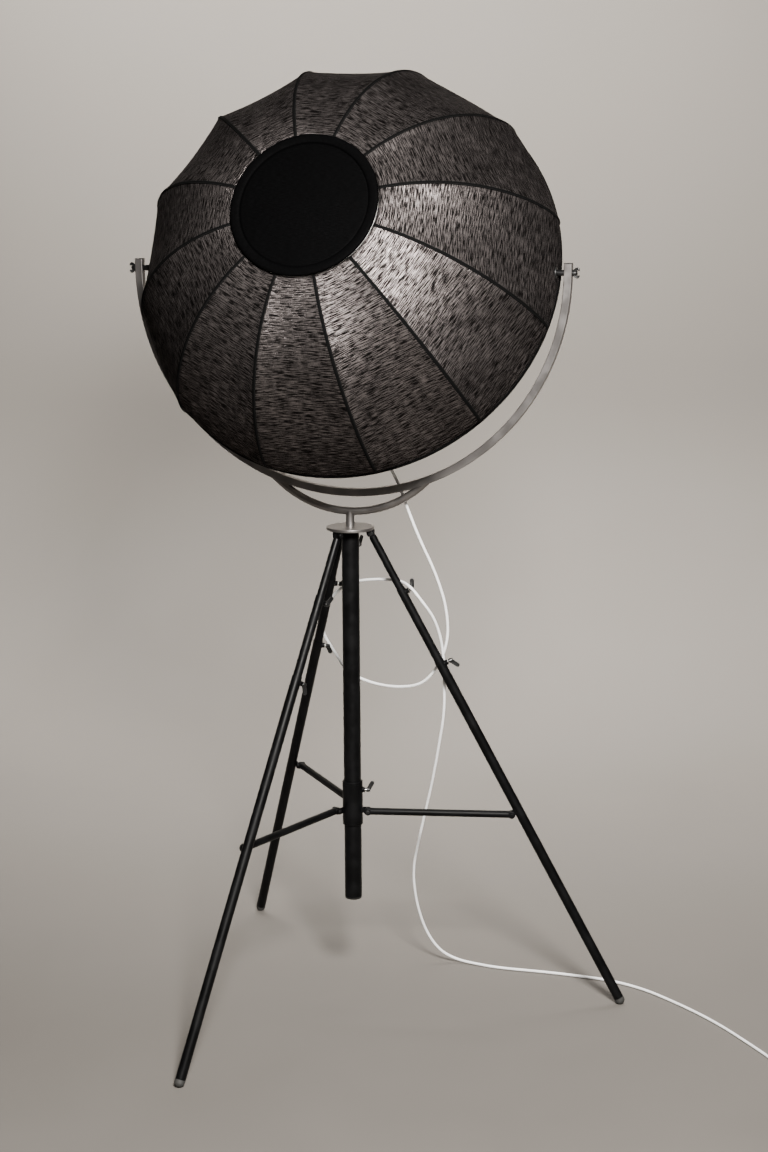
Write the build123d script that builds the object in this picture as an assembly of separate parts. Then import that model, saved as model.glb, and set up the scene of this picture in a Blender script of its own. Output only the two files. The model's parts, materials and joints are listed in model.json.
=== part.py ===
"""Tripod floor lamp: telescopic braced legs, a sliding mast with a yoke, and a twelve-gore fabric shade.

Lengths are in millimetres and angles in degrees. The model is built about the column's axis, with the
floor at z = 0 and the yoke's pivot axis along X. The last step moves everything sideways so that the
origin lies on the floor under the middle of the lamp's bounding box, the cord left out.
"""

from build123d import *
from math import acos, asin, cos, degrees, hypot, radians, sin, sqrt, tan
import os

# ---- fits -------------------------------------------------------------------------------------------
RUNNING_FIT = 0.05  # radial, a pin or screw in its bore
SLIDING_FIT = 0.25  # radial, a tube in a tube, or the collar on the column
SEAT_GAP = 0.3  # between faces of bodies that move past each other
WELD_BITE = 0.5  # how far a welded lug or boss goes into the piece that it is welded to
TOOL_RUN = 1.0  # how far a cutter runs past the faces that it opens

# ---- tripod -----------------------------------------------------------------------------------------
LEG_AZIMUTH = {"right": 10.6, "front": -109.4, "back": 130.6}
LEG_SPLAY = 27.7  # from vertical, as it stands
LEG_SPLAY_FOLDED = 4.0
LEG_PIVOT_RADIUS = 42.5
LEG_LENGTH = 1145.0  # pivot to the centre of the foot's round nose
UPPER_SHOWN = 133.0  # pivot to the mouth of the middle tube
MIDDLE_SHOWN = 173.0  # mouth of the middle tube to the mouth of the lower tube
TUBE_OVERLAP = 150.0  # length of an inner tube that is inside the outer one
UPPER_DIAMETER = 16.0
LEG_TUBE_WALL = 1.0
FOOT_FLAT_RADIUS = 4.0
FOOT_TIP_LENGTH = 16.0
LEG_EYE_RADIUS = 6.0
LEG_EYE_WIDTH = 9.0
LEG_NECK_LENGTH = 12.0
LEG_NECK_PLUG = 6.0  # neck's root inside the tube's bore
LEG_SHOULDER = 3.0
LEG_PIN_DIAMETER = 6.0
LEG_PIN_HEAD_DIAMETER = 10.0
LEG_PIN_HEAD_HEIGHT = 2.0
LEG_PIN_HEAD_EDGE = 0.8

# ---- top plate and column ---------------------------------------------------------------------------
PLATE_DIAMETER = 99.0
PLATE_THICKNESS = 6.0
PLATE_EDGE = 1.2
LEG_PIVOT_DROP = 13.0  # leg pivots below the plate's top face
EAR_THICKNESS = 3.0
CLEVIS_EAR_RADIUS = 8.0
COLUMN_DIAMETER = 36.5
COLUMN_WALL = 2.0
COLUMN_LENGTH = 814.1  # plate's top face to the cap's underside
COLUMN_CAP_SKIRT = 18.0
COLUMN_CAP_WALL = 2.5
COLUMN_CAP_HEAD = 5.0
COLUMN_CAP_EDGE = 2.5
COLUMN_SCREW_DROP = 44.0  # below the plate's top face
COLUMN_SCREW_TURN = 60.0  # from the right leg
BUSH_LENGTH = 56.0

# ---- collar and braces ------------------------------------------------------------------------------
COLLAR_LENGTH = 96.0
COLLAR_WALL = 3.0
COLLAR_LUG_HEIGHT = 34.0  # brace pivots above the collar's lower end
COLLAR_SCREW_HEIGHT = 76.0
COLLAR_RIM = 5.0  # end to the turned groove beside it
COLLAR_GROOVE_WIDTH = 1.0
COLLAR_GROOVE_DEPTH = 0.6
COLLAR_CHAMFER = 0.8
BRACE_DROP = 600.1  # leg pivots down to the collar's brace pivots
BRACE_PIVOT_RADIUS = 35.0
BRACE_DIAMETER = 15.0
BRACE_WALL = 1.2
BRACE_EYE_DIAMETER = 16.0
BRACE_EYE_EDGE = 2.0
BRACE_EYE_CORE = 12.0  # flat part of the outer eye, round its rivet
BRACE_AT = 669.0  # along the leg, from its pivot to the brace lug
BRACE_LUG_INSET = 14.0  # from the leg's axis inwards to the lug's pivot
BRACE_LUG_ROOT = 6.0  # lug's root inside the tube's outline
LUG_EYE_RADIUS = 6.5
BRACE_PIN_DIAMETER = 4.0
RIVET_HEAD_DIAMETER = 8.0
RIVET_HEAD_HEIGHT = 1.8

# ---- thumb screws and wing nuts -----------------------------------------------------------------------
SCREW_DIAMETER = 6.0
POINT_CHAMFER = 0.8  # on the ends of screws and bolts
BOSS_DIAMETER = 11.0
BOSS_HEIGHT = 5.0
SCREW_NECK = 3.0  # bare thread between the boss and the hub
HUB_DIAMETER = 10.0
HUB_TIP_DIAMETER = 8.0
HUB_LENGTH = 9.0
WING_LENGTH = 24.0
WING_WIDTH = 9.0
WING_THICKNESS = 5.0
WING_EDGE = 1.5
WING_SPREAD = 62.0  # the wing from the screw's axis
SCREW_TURN = {"right": 0.0, "front": 165.0, "back": -111.0}  # leg screws about the leg, from outwards

# ---- mast, bow and yoke -----------------------------------------------------------------------------
MAST_DIAMETER = 17.5
MAST_WALL = 1.5
MAST_LIFT = 480.0  # travel from rest to full height
MAST_HELD = 130.0  # length still inside the column at full height
GUIDE_LENGTH = 30.0
GUIDE_STUB = 28.0
GUIDE_CHAMFER = 1.0
BOW_GAP = 24.5  # plate's top face to the bow's underside
BOW_DIAMETER = 16.0
BOW_RADIUS = 232.0
BOW_HALF_SPAN = 168.0
BOW_WALL = 1.5
BOW_TRIM = 4.0  # degrees that the bow is bent beyond its cut ends
YOKE_BAR = 16.0
YOKE_WALL = 1.5
YOKE_CORNER = 1.5
YOKE_TAIL = 18.0  # straight end above the pivot
YOKE_PLUG_DEPTH = 14.0
YOKE_PLUG_HEAD = 1.5
PIVOT_BOLT_DIAMETER = 8.0
NUT_HUB_DIAMETER = 13.0
NUT_HUB_LENGTH = 8.0
NUT_WING_LENGTH = 15.0
NUT_WING_WIDTH = 10.0
NUT_WING_SPREAD = 38.0
NUT_WING_ROOT = 3.5  # above the nut's seat
NUT_EDGE = 1.0
BOLT_HEAD_DIAMETER = 14.0
BOLT_HEAD_HEIGHT = 5.0
BOLT_END = 2.0  # bolt beyond the nut's hub

# ---- shade ------------------------------------------------------------------------------------------
SHADE_TILT = 27.1  # hub end raised from horizontal
GORES = 12
RIM_DROP = 18.4  # mouth's plane from the pivot axis
SHADE_DEPTH = 322.0
HUB_RADIUS = 147.0
RIM_RADIUS = 436.0
SHOULDER_REACH = 223.0  # the profile's two pull points, which give the bowl its bulge
SHOULDER_FALL = 23.0
BELLY_REACH = 29.0
BELLY_RISE = 16.0
VALLEY_PULL = 0.945  # gore's middle against its ribs, about the bowl's heart
BOWL_HEART = 60.0  # height of that centre above the mouth
FABRIC = 1.5
RIB_WIDTH = 4.0
RIB_DEPTH = 5.0
RIB_GAP = 1.1  # fabric's ridge to the rib's back
RIB_TAIL = 26.0  # straight root on the hub plate
TAPE_WIDTH = 7.0
TAPE_THICKNESS = 0.8
HOOP_DIAMETER = 12.0
HOOP_PROUD = 1.0  # hoop's outside beyond the rim
HUB_PLATE_THICKNESS = 3.0
HUB_RING_WIDTH = 22.0
HUB_RING_HEIGHT = 9.0
HUB_RING_FLAT = 1.0  # left between the rounds on the ring's sides
HUB_RING_LAP = 3.0  # ring's outer edge beyond the gores' inner ends
HUB_CAP_THICKNESS = 3.0
HUB_CAP_DOME = 8.0
PIVOT_STRAP_WIDTH = 30.0
PIVOT_STRAP_THICKNESS = 4.0
PIVOT_STRAP_CORNER = 3.0
SPACER_DIAMETER = 12.0
SPACER_LENGTH = 23.7  # strap to yoke, which sets the yoke's radius
FABRIC_HOLE_GAP = 0.6

# ---- lamp -------------------------------------------------------------------------------------------
STEM_DIAMETER = 18.0
STEM_LENGTH = 150.0
STEM_FLANGE_DIAMETER = 70.0
STEM_FLANGE_THICKNESS = 4.0
HOLDER_DIAMETER = 42.0
HOLDER_LENGTH = 66.0
HOLDER_WALL = 2.5
HOLDER_SHOULDER = 8.0
CAP_THREAD_DIAMETER = 26.0
CAP_LENGTH = 28.0
CAP_CHAMFER = 4.0
BULB_DIAMETER = 95.0
BULB_NECK_DIAMETER = 34.0
BULB_NECK_LENGTH = 26.0
BULB_WALL = 1.2
GRIP_DIAMETER = 13.0
GRIP_LENGTH = 24.0
GRIP_MOUTH_DIAMETER = 9.0
GRIP_SETBACK = 20.0  # from the holder's closed end

# ---- cord and plug ----------------------------------------------------------------------------------
CORD_DIAMETER = 6.0
CORD_FIRST_RUN = 79.0  # straight out of the grip
CORD_ROUTE = [  # from below the grip to the coil, about the column's axis
    (11, -141, 1424),
    (30, -112, 1348),
    (53, -75, 1276),
    (77, -39, 1204),
    (99, 8, 1140),
    (110, 27, 1092),
    (139, 33, 1013),
    (173, 44, 937),
    (196, 52, 857),
    (195, 58, 778),
    (157, 65, 707),
    (115, 72, 680),
    (33, 88, 674),
    (-46, 110, 693),
    (-94, 168, 727),
    (-119, 168, 762),
    (-110, 144, 808),
    (-87, 120, 852),
    (-41, 99, 894),
    (28, 62, 914),
    (93, 45, 918),
    (127, 9, 914),
    (155, 4, 883),
    (176, 22, 845),
    (186, 39, 797),
    (188, 51, 750),
    (188, 56, 700),
    (186, 63, 632),
    (168, 84, 552),
    (150, 104, 474),
    (127, 129, 395),
    (105, 150, 317),
    (84, 172, 239),
    (84, 194, 158),
    (100, 216, 79),
    (129, 230, 29),
    (166, 239, 8),
    (207, 235, 4),
    (270, 224, 4),
    (354, 228, 4),
    (438, 227, 4),
    (521, 221, 4),
    (600, 192, 4),
    (669, 144, 4),
    (735, 92, 4),
    (797, 34, 4),
    (852, -28, 4),
    (906, -90, 4),
]
COIL_JOINT = (956, -160, 4)  # where the cord runs into the coil's outermost turn
CORD_RUN_SHARE = 0.45  # of the shorter run beside a corner, used by its arc
COIL_PITCH_RADIUS = 33.0
COIL_WIDTH = 18.0  # three turns side by side
COIL_HEIGHT = 14.0
COIL_LEAD = 20.0  # the tube's end and the plug's, short of their joints with the coil
PLUG_LENGTH = 34.0
PLUG_WIDTH = 34.0
PLUG_NECK_WIDTH = 16.0
PLUG_FLARE_LENGTH = 23.8  # neck to full width
PLUG_THICKNESS = 14.0
PLUG_EDGE = 2.5
PLUG_RELIEF_LENGTH = 24.0
PLUG_RELIEF_END = 8.5
PLUG_RELIEF_ROOT = 12.6
PIN_DIAMETER = 4.0
PIN_LENGTH = 19.0
PIN_SPACING = 19.0
PIN_ROOT = 8.0

# ---- sizes worked out from those above --------------------------------------------------------------
MIDDLE_DIAMETER = UPPER_DIAMETER + 2 * (SLIDING_FIT + LEG_TUBE_WALL)
LOWER_DIAMETER = MIDDLE_DIAMETER + 2 * (SLIDING_FIT + LEG_TUBE_WALL)
FOOT_RADIUS = LOWER_DIAMETER / 2
NOSE_HEIGHT = sqrt(FOOT_RADIUS**2 - FOOT_FLAT_RADIUS**2)
LEG_PIVOT_HEIGHT = NOSE_HEIGHT + LEG_LENGTH * cos(radians(LEG_SPLAY))
PLATE_TOP = LEG_PIVOT_HEIGHT + LEG_PIVOT_DROP
PLATE_UNDERSIDE = PLATE_TOP - PLATE_THICKNESS
COLUMN_BOTTOM = PLATE_TOP - COLUMN_LENGTH
MAST_BOTTOM = PLATE_TOP - MAST_LIFT - MAST_HELD
BRACE_HEIGHT = LEG_PIVOT_HEIGHT - BRACE_DROP
EAR_PLANE = LOWER_DIAMETER / 2  # outer face of each brace ear, from the leg's plane
BRACE_PLANE = EAR_PLANE + SEAT_GAP + BRACE_DIAMETER / 2
COLLAR_BORE = COLUMN_DIAMETER + 2 * SLIDING_FIT
COLLAR_DIAMETER = COLLAR_BORE + 2 * COLLAR_WALL
COLLAR_BOTTOM = BRACE_HEIGHT - COLLAR_LUG_HEIGHT
BOW_BOTTOM = PLATE_TOP + BOW_GAP
BOW_CENTRE = BOW_BOTTOM + BOW_DIAMETER / 2 + BOW_RADIUS
HUB_TOP = SHADE_DEPTH - RIM_DROP
HOOP_RADIUS = RIM_RADIUS - HOOP_DIAMETER / 2 + HOOP_PROUD
HOOP_HEIGHT = -RIM_DROP - HOOP_DIAMETER / 2 - SEAT_GAP
STRAP_FACE = HOOP_RADIUS - HOOP_DIAMETER / 2
YOKE_INNER_FACE = STRAP_FACE + SPACER_LENGTH + SEAT_GAP
YOKE_OUTER_FACE = YOKE_INNER_FACE + YOKE_BAR
YOKE_RADIUS = (YOKE_INNER_FACE + YOKE_OUTER_FACE) / 2
YOKE_CENTRE = (
    BOW_CENTRE - sqrt(BOW_RADIUS**2 - BOW_HALF_SPAN**2) + sqrt(YOKE_RADIUS**2 - BOW_HALF_SPAN**2)
)
PLATE_SEAT = HUB_TOP - FABRIC - RIB_GAP - RIB_DEPTH  # hub plate's outer face, under the ribs' roots
STEM_TOP = PLATE_SEAT - HUB_PLATE_THICKNESS
HOLDER_TOP = STEM_TOP - STEM_FLANGE_THICKNESS - STEM_LENGTH
COIL_OUTER_RADIUS = COIL_PITCH_RADIUS + COIL_WIDTH / 2


# ---- places -----------------------------------------------------------------------------------------
def about(azimuth):
    """Turn from the plane of X and Z to the radial plane at an azimuth."""
    return Rot(0, 0, azimuth)


def leg_place(azimuth, splay=LEG_SPLAY):
    """A leg's own frame: origin at its pivot, Z up along the leg, X square to it and outwards."""
    return about(azimuth) * Pos(LEG_PIVOT_RADIUS, 0, LEG_PIVOT_HEIGHT) * Rot(0, -splay, 0)


def leg_point(x, z, splay=LEG_SPLAY):
    """Radius and height of a point given in the leg's own frame."""
    tilt = radians(splay)
    return (
        LEG_PIVOT_RADIUS + x * cos(tilt) - z * sin(tilt),
        LEG_PIVOT_HEIGHT + x * sin(tilt) + z * cos(tilt),
    )


def head_place():
    """The shade's own frame: origin on the pivot axis, Z out through the hub, X along the pivots."""
    return Pos(0, 0, YOKE_CENTRE) * Rot(90 - SHADE_TILT, 0, 0)


BRACE_OUTER = leg_point(-BRACE_LUG_INSET, -BRACE_AT)
BRACE_LENGTH = hypot(BRACE_OUTER[0] - BRACE_PIVOT_RADIUS, BRACE_OUTER[1] - BRACE_HEIGHT)
BRACE_RISE = degrees(asin((BRACE_OUTER[1] - BRACE_HEIGHT) / BRACE_LENGTH))


def folded_collar_lift():
    """How far the collar climbs, and how far each brace swings down, when the legs are folded."""
    radius, height = leg_point(-BRACE_LUG_INSET, -BRACE_AT, LEG_SPLAY_FOLDED)
    swing = acos((radius - BRACE_PIVOT_RADIUS) / BRACE_LENGTH)
    return height + BRACE_LENGTH * sin(swing) - BRACE_HEIGHT, degrees(swing) + BRACE_RISE


# ---- shared forms -----------------------------------------------------------------------------------
BASE = (Align.CENTER, Align.CENTER, Align.MIN)
TOP = (Align.CENTER, Align.CENTER, Align.MAX)


def rod(diameter, length):
    """Cylinder standing on the origin."""
    return Cylinder(diameter / 2, length, align=BASE)


def tube(diameter, wall, length):
    """Tube standing on the origin."""
    return rod(diameter, length) - rod(diameter - 2 * wall, length)


def ear(reach, radius, thickness):
    """Flat lug in the plane of X and Z, with its pivot at the origin and its root at -reach in X."""
    eye = Rot(90, 0, 0) * Cylinder(radius, thickness)
    return eye + Pos(-reach / 2, 0, 0) * Box(reach, thickness, 2 * radius)


def wing(length, width, thickness, spread):
    """Rounded blade that leans `spread` from Z towards X, with its root at the origin."""
    blade = Rot(90, 0, 0) * extrude(SlotOverall(length, width), thickness / 2, both=True)
    blade = fillet(blade.edges().filter_by(GeomType.CIRCLE), WING_EDGE)
    return Rot(0, spread - 90, 0) * Pos(length / 2 - width / 4, 0, 0) * blade


def thumb_screw(reach):
    """Clamp screw along Z with one wing: its point is `reach` below the boss's face, at the origin."""
    shank = Pos(0, 0, -reach) * rod(SCREW_DIAMETER, reach + SCREW_NECK + HUB_LENGTH / 2)
    shank = chamfer(shank.edges().sort_by(Axis.Z)[0], POINT_CHAMFER)
    hub = Pos(0, 0, SCREW_NECK) * Cone(HUB_DIAMETER / 2, HUB_TIP_DIAMETER / 2, HUB_LENGTH, align=BASE)
    blade = wing(WING_LENGTH, WING_WIDTH, WING_THICKNESS, WING_SPREAD)
    return shank + hub + Pos(0, 0, SCREW_NECK + HUB_LENGTH / 2) * blade


def boss_with_bore(surface_radius, wall):
    """Threaded boss along X on a tube about Z, and the bore that the screw turns in."""
    root = surface_radius - WELD_BITE
    boss = Pos(root, 0, 0) * Rot(0, 90, 0) * rod(BOSS_DIAMETER, WELD_BITE + BOSS_HEIGHT)
    bore = rod(SCREW_DIAMETER + 2 * RUNNING_FIT, wall + BOSS_HEIGHT + 2 * TOOL_RUN)
    return boss, Pos(surface_radius - wall - TOOL_RUN, 0, 0) * Rot(0, 90, 0) * bore


def screw_in_boss(surface_radius, inner_radius, wing_up=True):
    """Thumb screw in a boss along X, its point just off the piece that it clamps."""
    reach = surface_radius + BOSS_HEIGHT - inner_radius - SEAT_GAP
    spin = Rot(0, 0, 180 if wing_up else 0)
    return Pos(surface_radius + BOSS_HEIGHT, 0, 0) * Rot(0, 90, 0) * spin * thumb_screw(reach)


# ---- legs -------------------------------------------------------------------------------------------
def upper_tube():
    """Thin top section with the flat eye that hangs on the hinge pin."""
    length = UPPER_SHOWN + TUBE_OVERLAP - LEG_NECK_LENGTH
    shell = Pos(0, 0, -LEG_NECK_LENGTH - length) * tube(UPPER_DIAMETER, LEG_TUBE_WALL, length)
    neck = rod(UPPER_DIAMETER - 2 * LEG_TUBE_WALL, LEG_NECK_PLUG)
    neck = Pos(0, 0, -LEG_NECK_LENGTH - LEG_NECK_PLUG) * neck
    shoulder = Pos(0, 0, -LEG_NECK_LENGTH) * rod(UPPER_DIAMETER, LEG_SHOULDER)
    eye = Rot(90, 0, 0) * Cylinder(LEG_EYE_RADIUS, LEG_EYE_WIDTH)
    web = Box(2 * LEG_EYE_RADIUS, LEG_EYE_WIDTH, LEG_NECK_LENGTH, align=TOP)
    pin = Rot(90, 0, 0) * Cylinder(LEG_PIN_DIAMETER / 2 + RUNNING_FIT, 2 * LEG_EYE_WIDTH)
    return shell + neck + shoulder + (eye + web) - pin


def clamped_tube(diameter, mouth, length, turn):
    """Outer tube of a telescopic pair, with a screw boss: its mouth is `mouth` below the leg's pivot."""
    boss, bore = boss_with_bore(diameter / 2, LEG_TUBE_WALL)
    at_screw = Pos(0, 0, length - BOSS_DIAMETER) * Rot(0, 0, turn)
    shell = rod(diameter, length) + at_screw * boss
    shell = shell - rod(diameter - 2 * LEG_TUBE_WALL, length) - at_screw * bore
    return Pos(0, 0, -mouth - length) * shell


def leg_screw(diameter, mouth, turn, wing_up):
    """Thumb screw near the mouth of a leg tube."""
    inner = diameter / 2 - LEG_TUBE_WALL - SLIDING_FIT
    at_screw = Pos(0, 0, -mouth - BOSS_DIAMETER) * Rot(0, 0, turn)
    return at_screw * screw_in_boss(diameter / 2, inner, wing_up)


def middle_tube(turn):
    """Middle section, which slides over the upper one and into the lower one."""
    return clamped_tube(MIDDLE_DIAMETER, UPPER_SHOWN, MIDDLE_SHOWN + TUBE_OVERLAP, turn)


def lower_tube(turn):
    """Lower section, with the lug that the brace meets."""
    mouth = UPPER_SHOWN + MIDDLE_SHOWN
    length = LEG_LENGTH - mouth - FOOT_TIP_LENGTH + FOOT_RADIUS
    shell = clamped_tube(LOWER_DIAMETER, mouth, length, turn)
    at_lug = Pos(-BRACE_LUG_INSET, 0, -BRACE_AT)
    lug = ear(BRACE_LUG_INSET - LOWER_DIAMETER / 2 + BRACE_LUG_ROOT, LUG_EYE_RADIUS, EAR_THICKNESS)
    lug = at_lug * Pos(0, EAR_THICKNESS / 2 - EAR_PLANE, 0) * Rot(0, 180, 0) * lug
    rivet = at_lug * Pos(0, EAR_THICKNESS - EAR_PLANE, 0) * Rot(-90, 0, 0) * rivet_head()
    bore = Pos(0, 0, -LEG_LENGTH) * rod(LOWER_DIAMETER - 2 * LEG_TUBE_WALL, LEG_LENGTH)
    return shell + (lug - bore) + rivet


def foot_tip():
    """Rounded plug in the leg's end, worn flat where it stands on the floor."""
    nose = Pos(0, 0, -LEG_LENGTH) * Sphere(FOOT_RADIUS)
    skirt = Pos(0, 0, -LEG_LENGTH) * rod(LOWER_DIAMETER, FOOT_TIP_LENGTH - FOOT_RADIUS)
    plug = Pos(0, 0, -LEG_LENGTH) * rod(
        LOWER_DIAMETER - 2 * (LEG_TUBE_WALL + RUNNING_FIT), 2 * FOOT_TIP_LENGTH
    )
    return nose + skirt + plug


def on_floor(shape):
    """Cut away what would reach below the floor."""
    return shape - Box(3 * LEG_LENGTH, 3 * LEG_LENGTH, 2 * FOOT_TIP_LENGTH, align=TOP)


# ---- braces and collar ------------------------------------------------------------------------------
def rivet_head():
    """Domed rivet head standing on the origin."""
    dome = Cylinder(RIVET_HEAD_DIAMETER / 2, RIVET_HEAD_HEIGHT, align=BASE)
    return fillet(dome.edges().sort_by(Axis.Z)[-1], RIVET_HEAD_HEIGHT * 0.7)


def brace():
    """Strut along X from its inner pivot at the origin, with a flat-sided eye at each end."""
    bar = Rot(0, 90, 0) * tube(BRACE_DIAMETER, BRACE_WALL, BRACE_LENGTH)
    eye = Rot(90, 0, 0) * Cylinder(BRACE_EYE_DIAMETER / 2, BRACE_DIAMETER)
    eye = fillet(eye.edges().filter_by(GeomType.CIRCLE), BRACE_EYE_EDGE)
    pin = Rot(90, 0, 0) * Cylinder(BRACE_PIN_DIAMETER / 2 + RUNNING_FIT, 2 * BRACE_DIAMETER)
    outer_eye = Pos(BRACE_LENGTH, 0, 0) * eye
    core = Pos(BRACE_LENGTH, 0, 0) * Rot(90, 0, 0) * Cylinder(BRACE_EYE_CORE / 2, BRACE_DIAMETER)
    rivet = Pos(BRACE_LENGTH, -BRACE_DIAMETER / 2, 0) * Rot(90, 0, 0) * rivet_head()
    return bar + eye + outer_eye + core + rivet - pin


def brace_place(azimuth):
    """A brace's frame: origin at its pivot on the collar, X along the brace."""
    at_collar = Pos(BRACE_PIVOT_RADIUS, -BRACE_PLANE, BRACE_HEIGHT)
    return about(azimuth) * at_collar * Rot(0, -BRACE_RISE, 0)


def brace_pin():
    """Rivet through a collar ear and a brace's inner eye, along Y."""
    ear_side = EAR_THICKNESS + SEAT_GAP
    length = ear_side + BRACE_DIAMETER
    shank = Rot(90, 0, 0) * Cylinder(BRACE_PIN_DIAMETER / 2, length + 2 * RUNNING_FIT)
    shank = Pos(0, ear_side / 2, 0) * shank
    outer = Pos(0, -BRACE_DIAMETER / 2 - RUNNING_FIT, 0) * Rot(90, 0, 0) * rivet_head()
    inner = Pos(0, BRACE_DIAMETER / 2 + ear_side + RUNNING_FIT, 0) * Rot(-90, 0, 0) * rivet_head()
    return shank + outer + inner


def collar():
    """Sleeve that slides on the column, with three brace ears and a screw boss."""
    sleeve = Pos(0, 0, COLLAR_BOTTOM) * rod(COLLAR_DIAMETER, COLLAR_LENGTH)
    sleeve = chamfer(sleeve.edges().filter_by(GeomType.CIRCLE), COLLAR_CHAMFER)
    groove = tube(COLLAR_DIAMETER + 2 * TOOL_RUN, TOOL_RUN + COLLAR_GROOVE_DEPTH, COLLAR_GROOVE_WIDTH)
    for height in (COLLAR_RIM, COLLAR_LENGTH - COLLAR_RIM - COLLAR_GROOVE_WIDTH):
        sleeve = sleeve - Pos(0, 0, COLLAR_BOTTOM + height) * groove
    hole = Rot(90, 0, 0) * Cylinder(BRACE_PIN_DIAMETER / 2 + RUNNING_FIT, 4 * EAR_THICKNESS)
    for azimuth in LEG_AZIMUTH.values():
        lug = ear(BRACE_PIVOT_RADIUS - COLLAR_BORE / 2, LUG_EYE_RADIUS, EAR_THICKNESS) - hole
        at_ear = Pos(BRACE_PIVOT_RADIUS, EAR_THICKNESS / 2 - EAR_PLANE, BRACE_HEIGHT)
        sleeve = sleeve + about(azimuth) * at_ear * lug
    boss, bore = boss_with_bore(COLLAR_DIAMETER / 2, COLLAR_WALL)
    at_screw = Pos(0, 0, COLLAR_BOTTOM + COLLAR_SCREW_HEIGHT) * about(LEG_AZIMUTH["right"])
    sleeve = sleeve + at_screw * boss - at_screw * bore
    return sleeve - Pos(0, 0, COLLAR_BOTTOM) * rod(COLLAR_BORE, COLLAR_LENGTH)


def collar_screw():
    """Thumb screw that holds the collar on the column."""
    at_screw = Pos(0, 0, COLLAR_BOTTOM + COLLAR_SCREW_HEIGHT) * about(LEG_AZIMUTH["right"])
    return at_screw * screw_in_boss(COLLAR_DIAMETER / 2, COLUMN_DIAMETER / 2)


# ---- top plate and column ---------------------------------------------------------------------------
def top_plate():
    """Round plate that carries the column and the three leg hinges."""
    disc = Pos(0, 0, PLATE_UNDERSIDE) * rod(PLATE_DIAMETER, PLATE_THICKNESS)
    disc = fillet(disc.edges().filter_by(GeomType.CIRCLE), PLATE_EDGE)
    mast = Pos(0, 0, PLATE_UNDERSIDE) * rod(MAST_DIAMETER + 2 * SLIDING_FIT, PLATE_THICKNESS)
    return disc - mast


def leg_clevises():
    """Pairs of ears under the plate, one pair for each leg."""
    drop = PLATE_UNDERSIDE - LEG_PIVOT_HEIGHT
    hole = Rot(90, 0, 0) * Cylinder(LEG_PIN_DIAMETER / 2 + RUNNING_FIT, 4 * LEG_EYE_WIDTH)
    one = Rot(0, 90, 0) * ear(drop, CLEVIS_EAR_RADIUS, EAR_THICKNESS)
    half_gap = LEG_EYE_WIDTH / 2 + SEAT_GAP + EAR_THICKNESS / 2
    pair = Pos(0, half_gap, 0) * one + Pos(0, -half_gap, 0) * one - hole
    under_plate = Pos(0, 0, drop) * Box(PLATE_DIAMETER, PLATE_DIAMETER, PLATE_DIAMETER, align=TOP)
    pair = pair & under_plate
    made = [
        about(azimuth) * Pos(LEG_PIVOT_RADIUS, 0, LEG_PIVOT_HEIGHT) * pair
        for azimuth in LEG_AZIMUTH.values()
    ]
    return Compound(children=[solid for group in made for solid in group.solids()])


def leg_pins():
    """Hinge pins with a head at each end."""
    length = LEG_EYE_WIDTH + 2 * (SEAT_GAP + EAR_THICKNESS)
    pin = Rot(90, 0, 0) * Cylinder(LEG_PIN_DIAMETER / 2, length + 2 * RUNNING_FIT)
    head = rod(LEG_PIN_HEAD_DIAMETER, LEG_PIN_HEAD_HEIGHT)
    head = Pos(0, -length / 2 - RUNNING_FIT, 0) * Rot(90, 0, 0) * head
    head = fillet(head.edges().sort_by(Axis.Y)[0], LEG_PIN_HEAD_EDGE)
    pin = pin + head + mirror(head, Plane.XZ)
    made = [
        about(azimuth) * Pos(LEG_PIVOT_RADIUS, 0, LEG_PIVOT_HEIGHT) * pin
        for azimuth in LEG_AZIMUTH.values()
    ]
    return Compound(children=made)


def column_screw_place():
    """Where the column's clamp screw stands."""
    height = PLATE_TOP - COLUMN_SCREW_DROP
    return Pos(0, 0, height) * about(LEG_AZIMUTH["right"] + COLUMN_SCREW_TURN)


def column_tube():
    """Centre column under the plate, with the boss of its clamp screw."""
    length = PLATE_UNDERSIDE - COLUMN_BOTTOM - COLUMN_CAP_HEAD
    shell = Pos(0, 0, COLUMN_BOTTOM + COLUMN_CAP_HEAD) * tube(COLUMN_DIAMETER, COLUMN_WALL, length)
    boss, bore = boss_with_bore(COLUMN_DIAMETER / 2, COLUMN_WALL)
    return shell + column_screw_place() * boss - column_screw_place() * bore


def column_cap():
    """Plug that closes the column's lower end."""
    head = Pos(0, 0, COLUMN_BOTTOM) * rod(COLUMN_DIAMETER, COLUMN_CAP_HEAD)
    head = fillet(head.edges().sort_by(Axis.Z)[0], COLUMN_CAP_EDGE)
    outer = COLUMN_DIAMETER - 2 * COLUMN_WALL - 2 * RUNNING_FIT
    skirt = Pos(0, 0, COLUMN_BOTTOM + COLUMN_CAP_HEAD) * tube(outer, COLUMN_CAP_WALL, COLUMN_CAP_SKIRT)
    return head + skirt


def column_screw():
    """Thumb screw that clamps the mast through the column's wall."""
    return column_screw_place() * screw_in_boss(COLUMN_DIAMETER / 2, MAST_DIAMETER / 2)


def mast_bush():
    """Plain bearing in the column's top, which the mast slides through."""
    outer = COLUMN_DIAMETER - 2 * COLUMN_WALL - 2 * RUNNING_FIT
    bush = rod(outer, BUSH_LENGTH) - rod(MAST_DIAMETER + 2 * SLIDING_FIT, BUSH_LENGTH)
    path = column_screw_place() * Rot(0, 90, 0) * rod(SCREW_DIAMETER + 2 * SEAT_GAP, COLUMN_DIAMETER)
    return Pos(0, 0, PLATE_UNDERSIDE - BUSH_LENGTH) * bush - path


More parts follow.
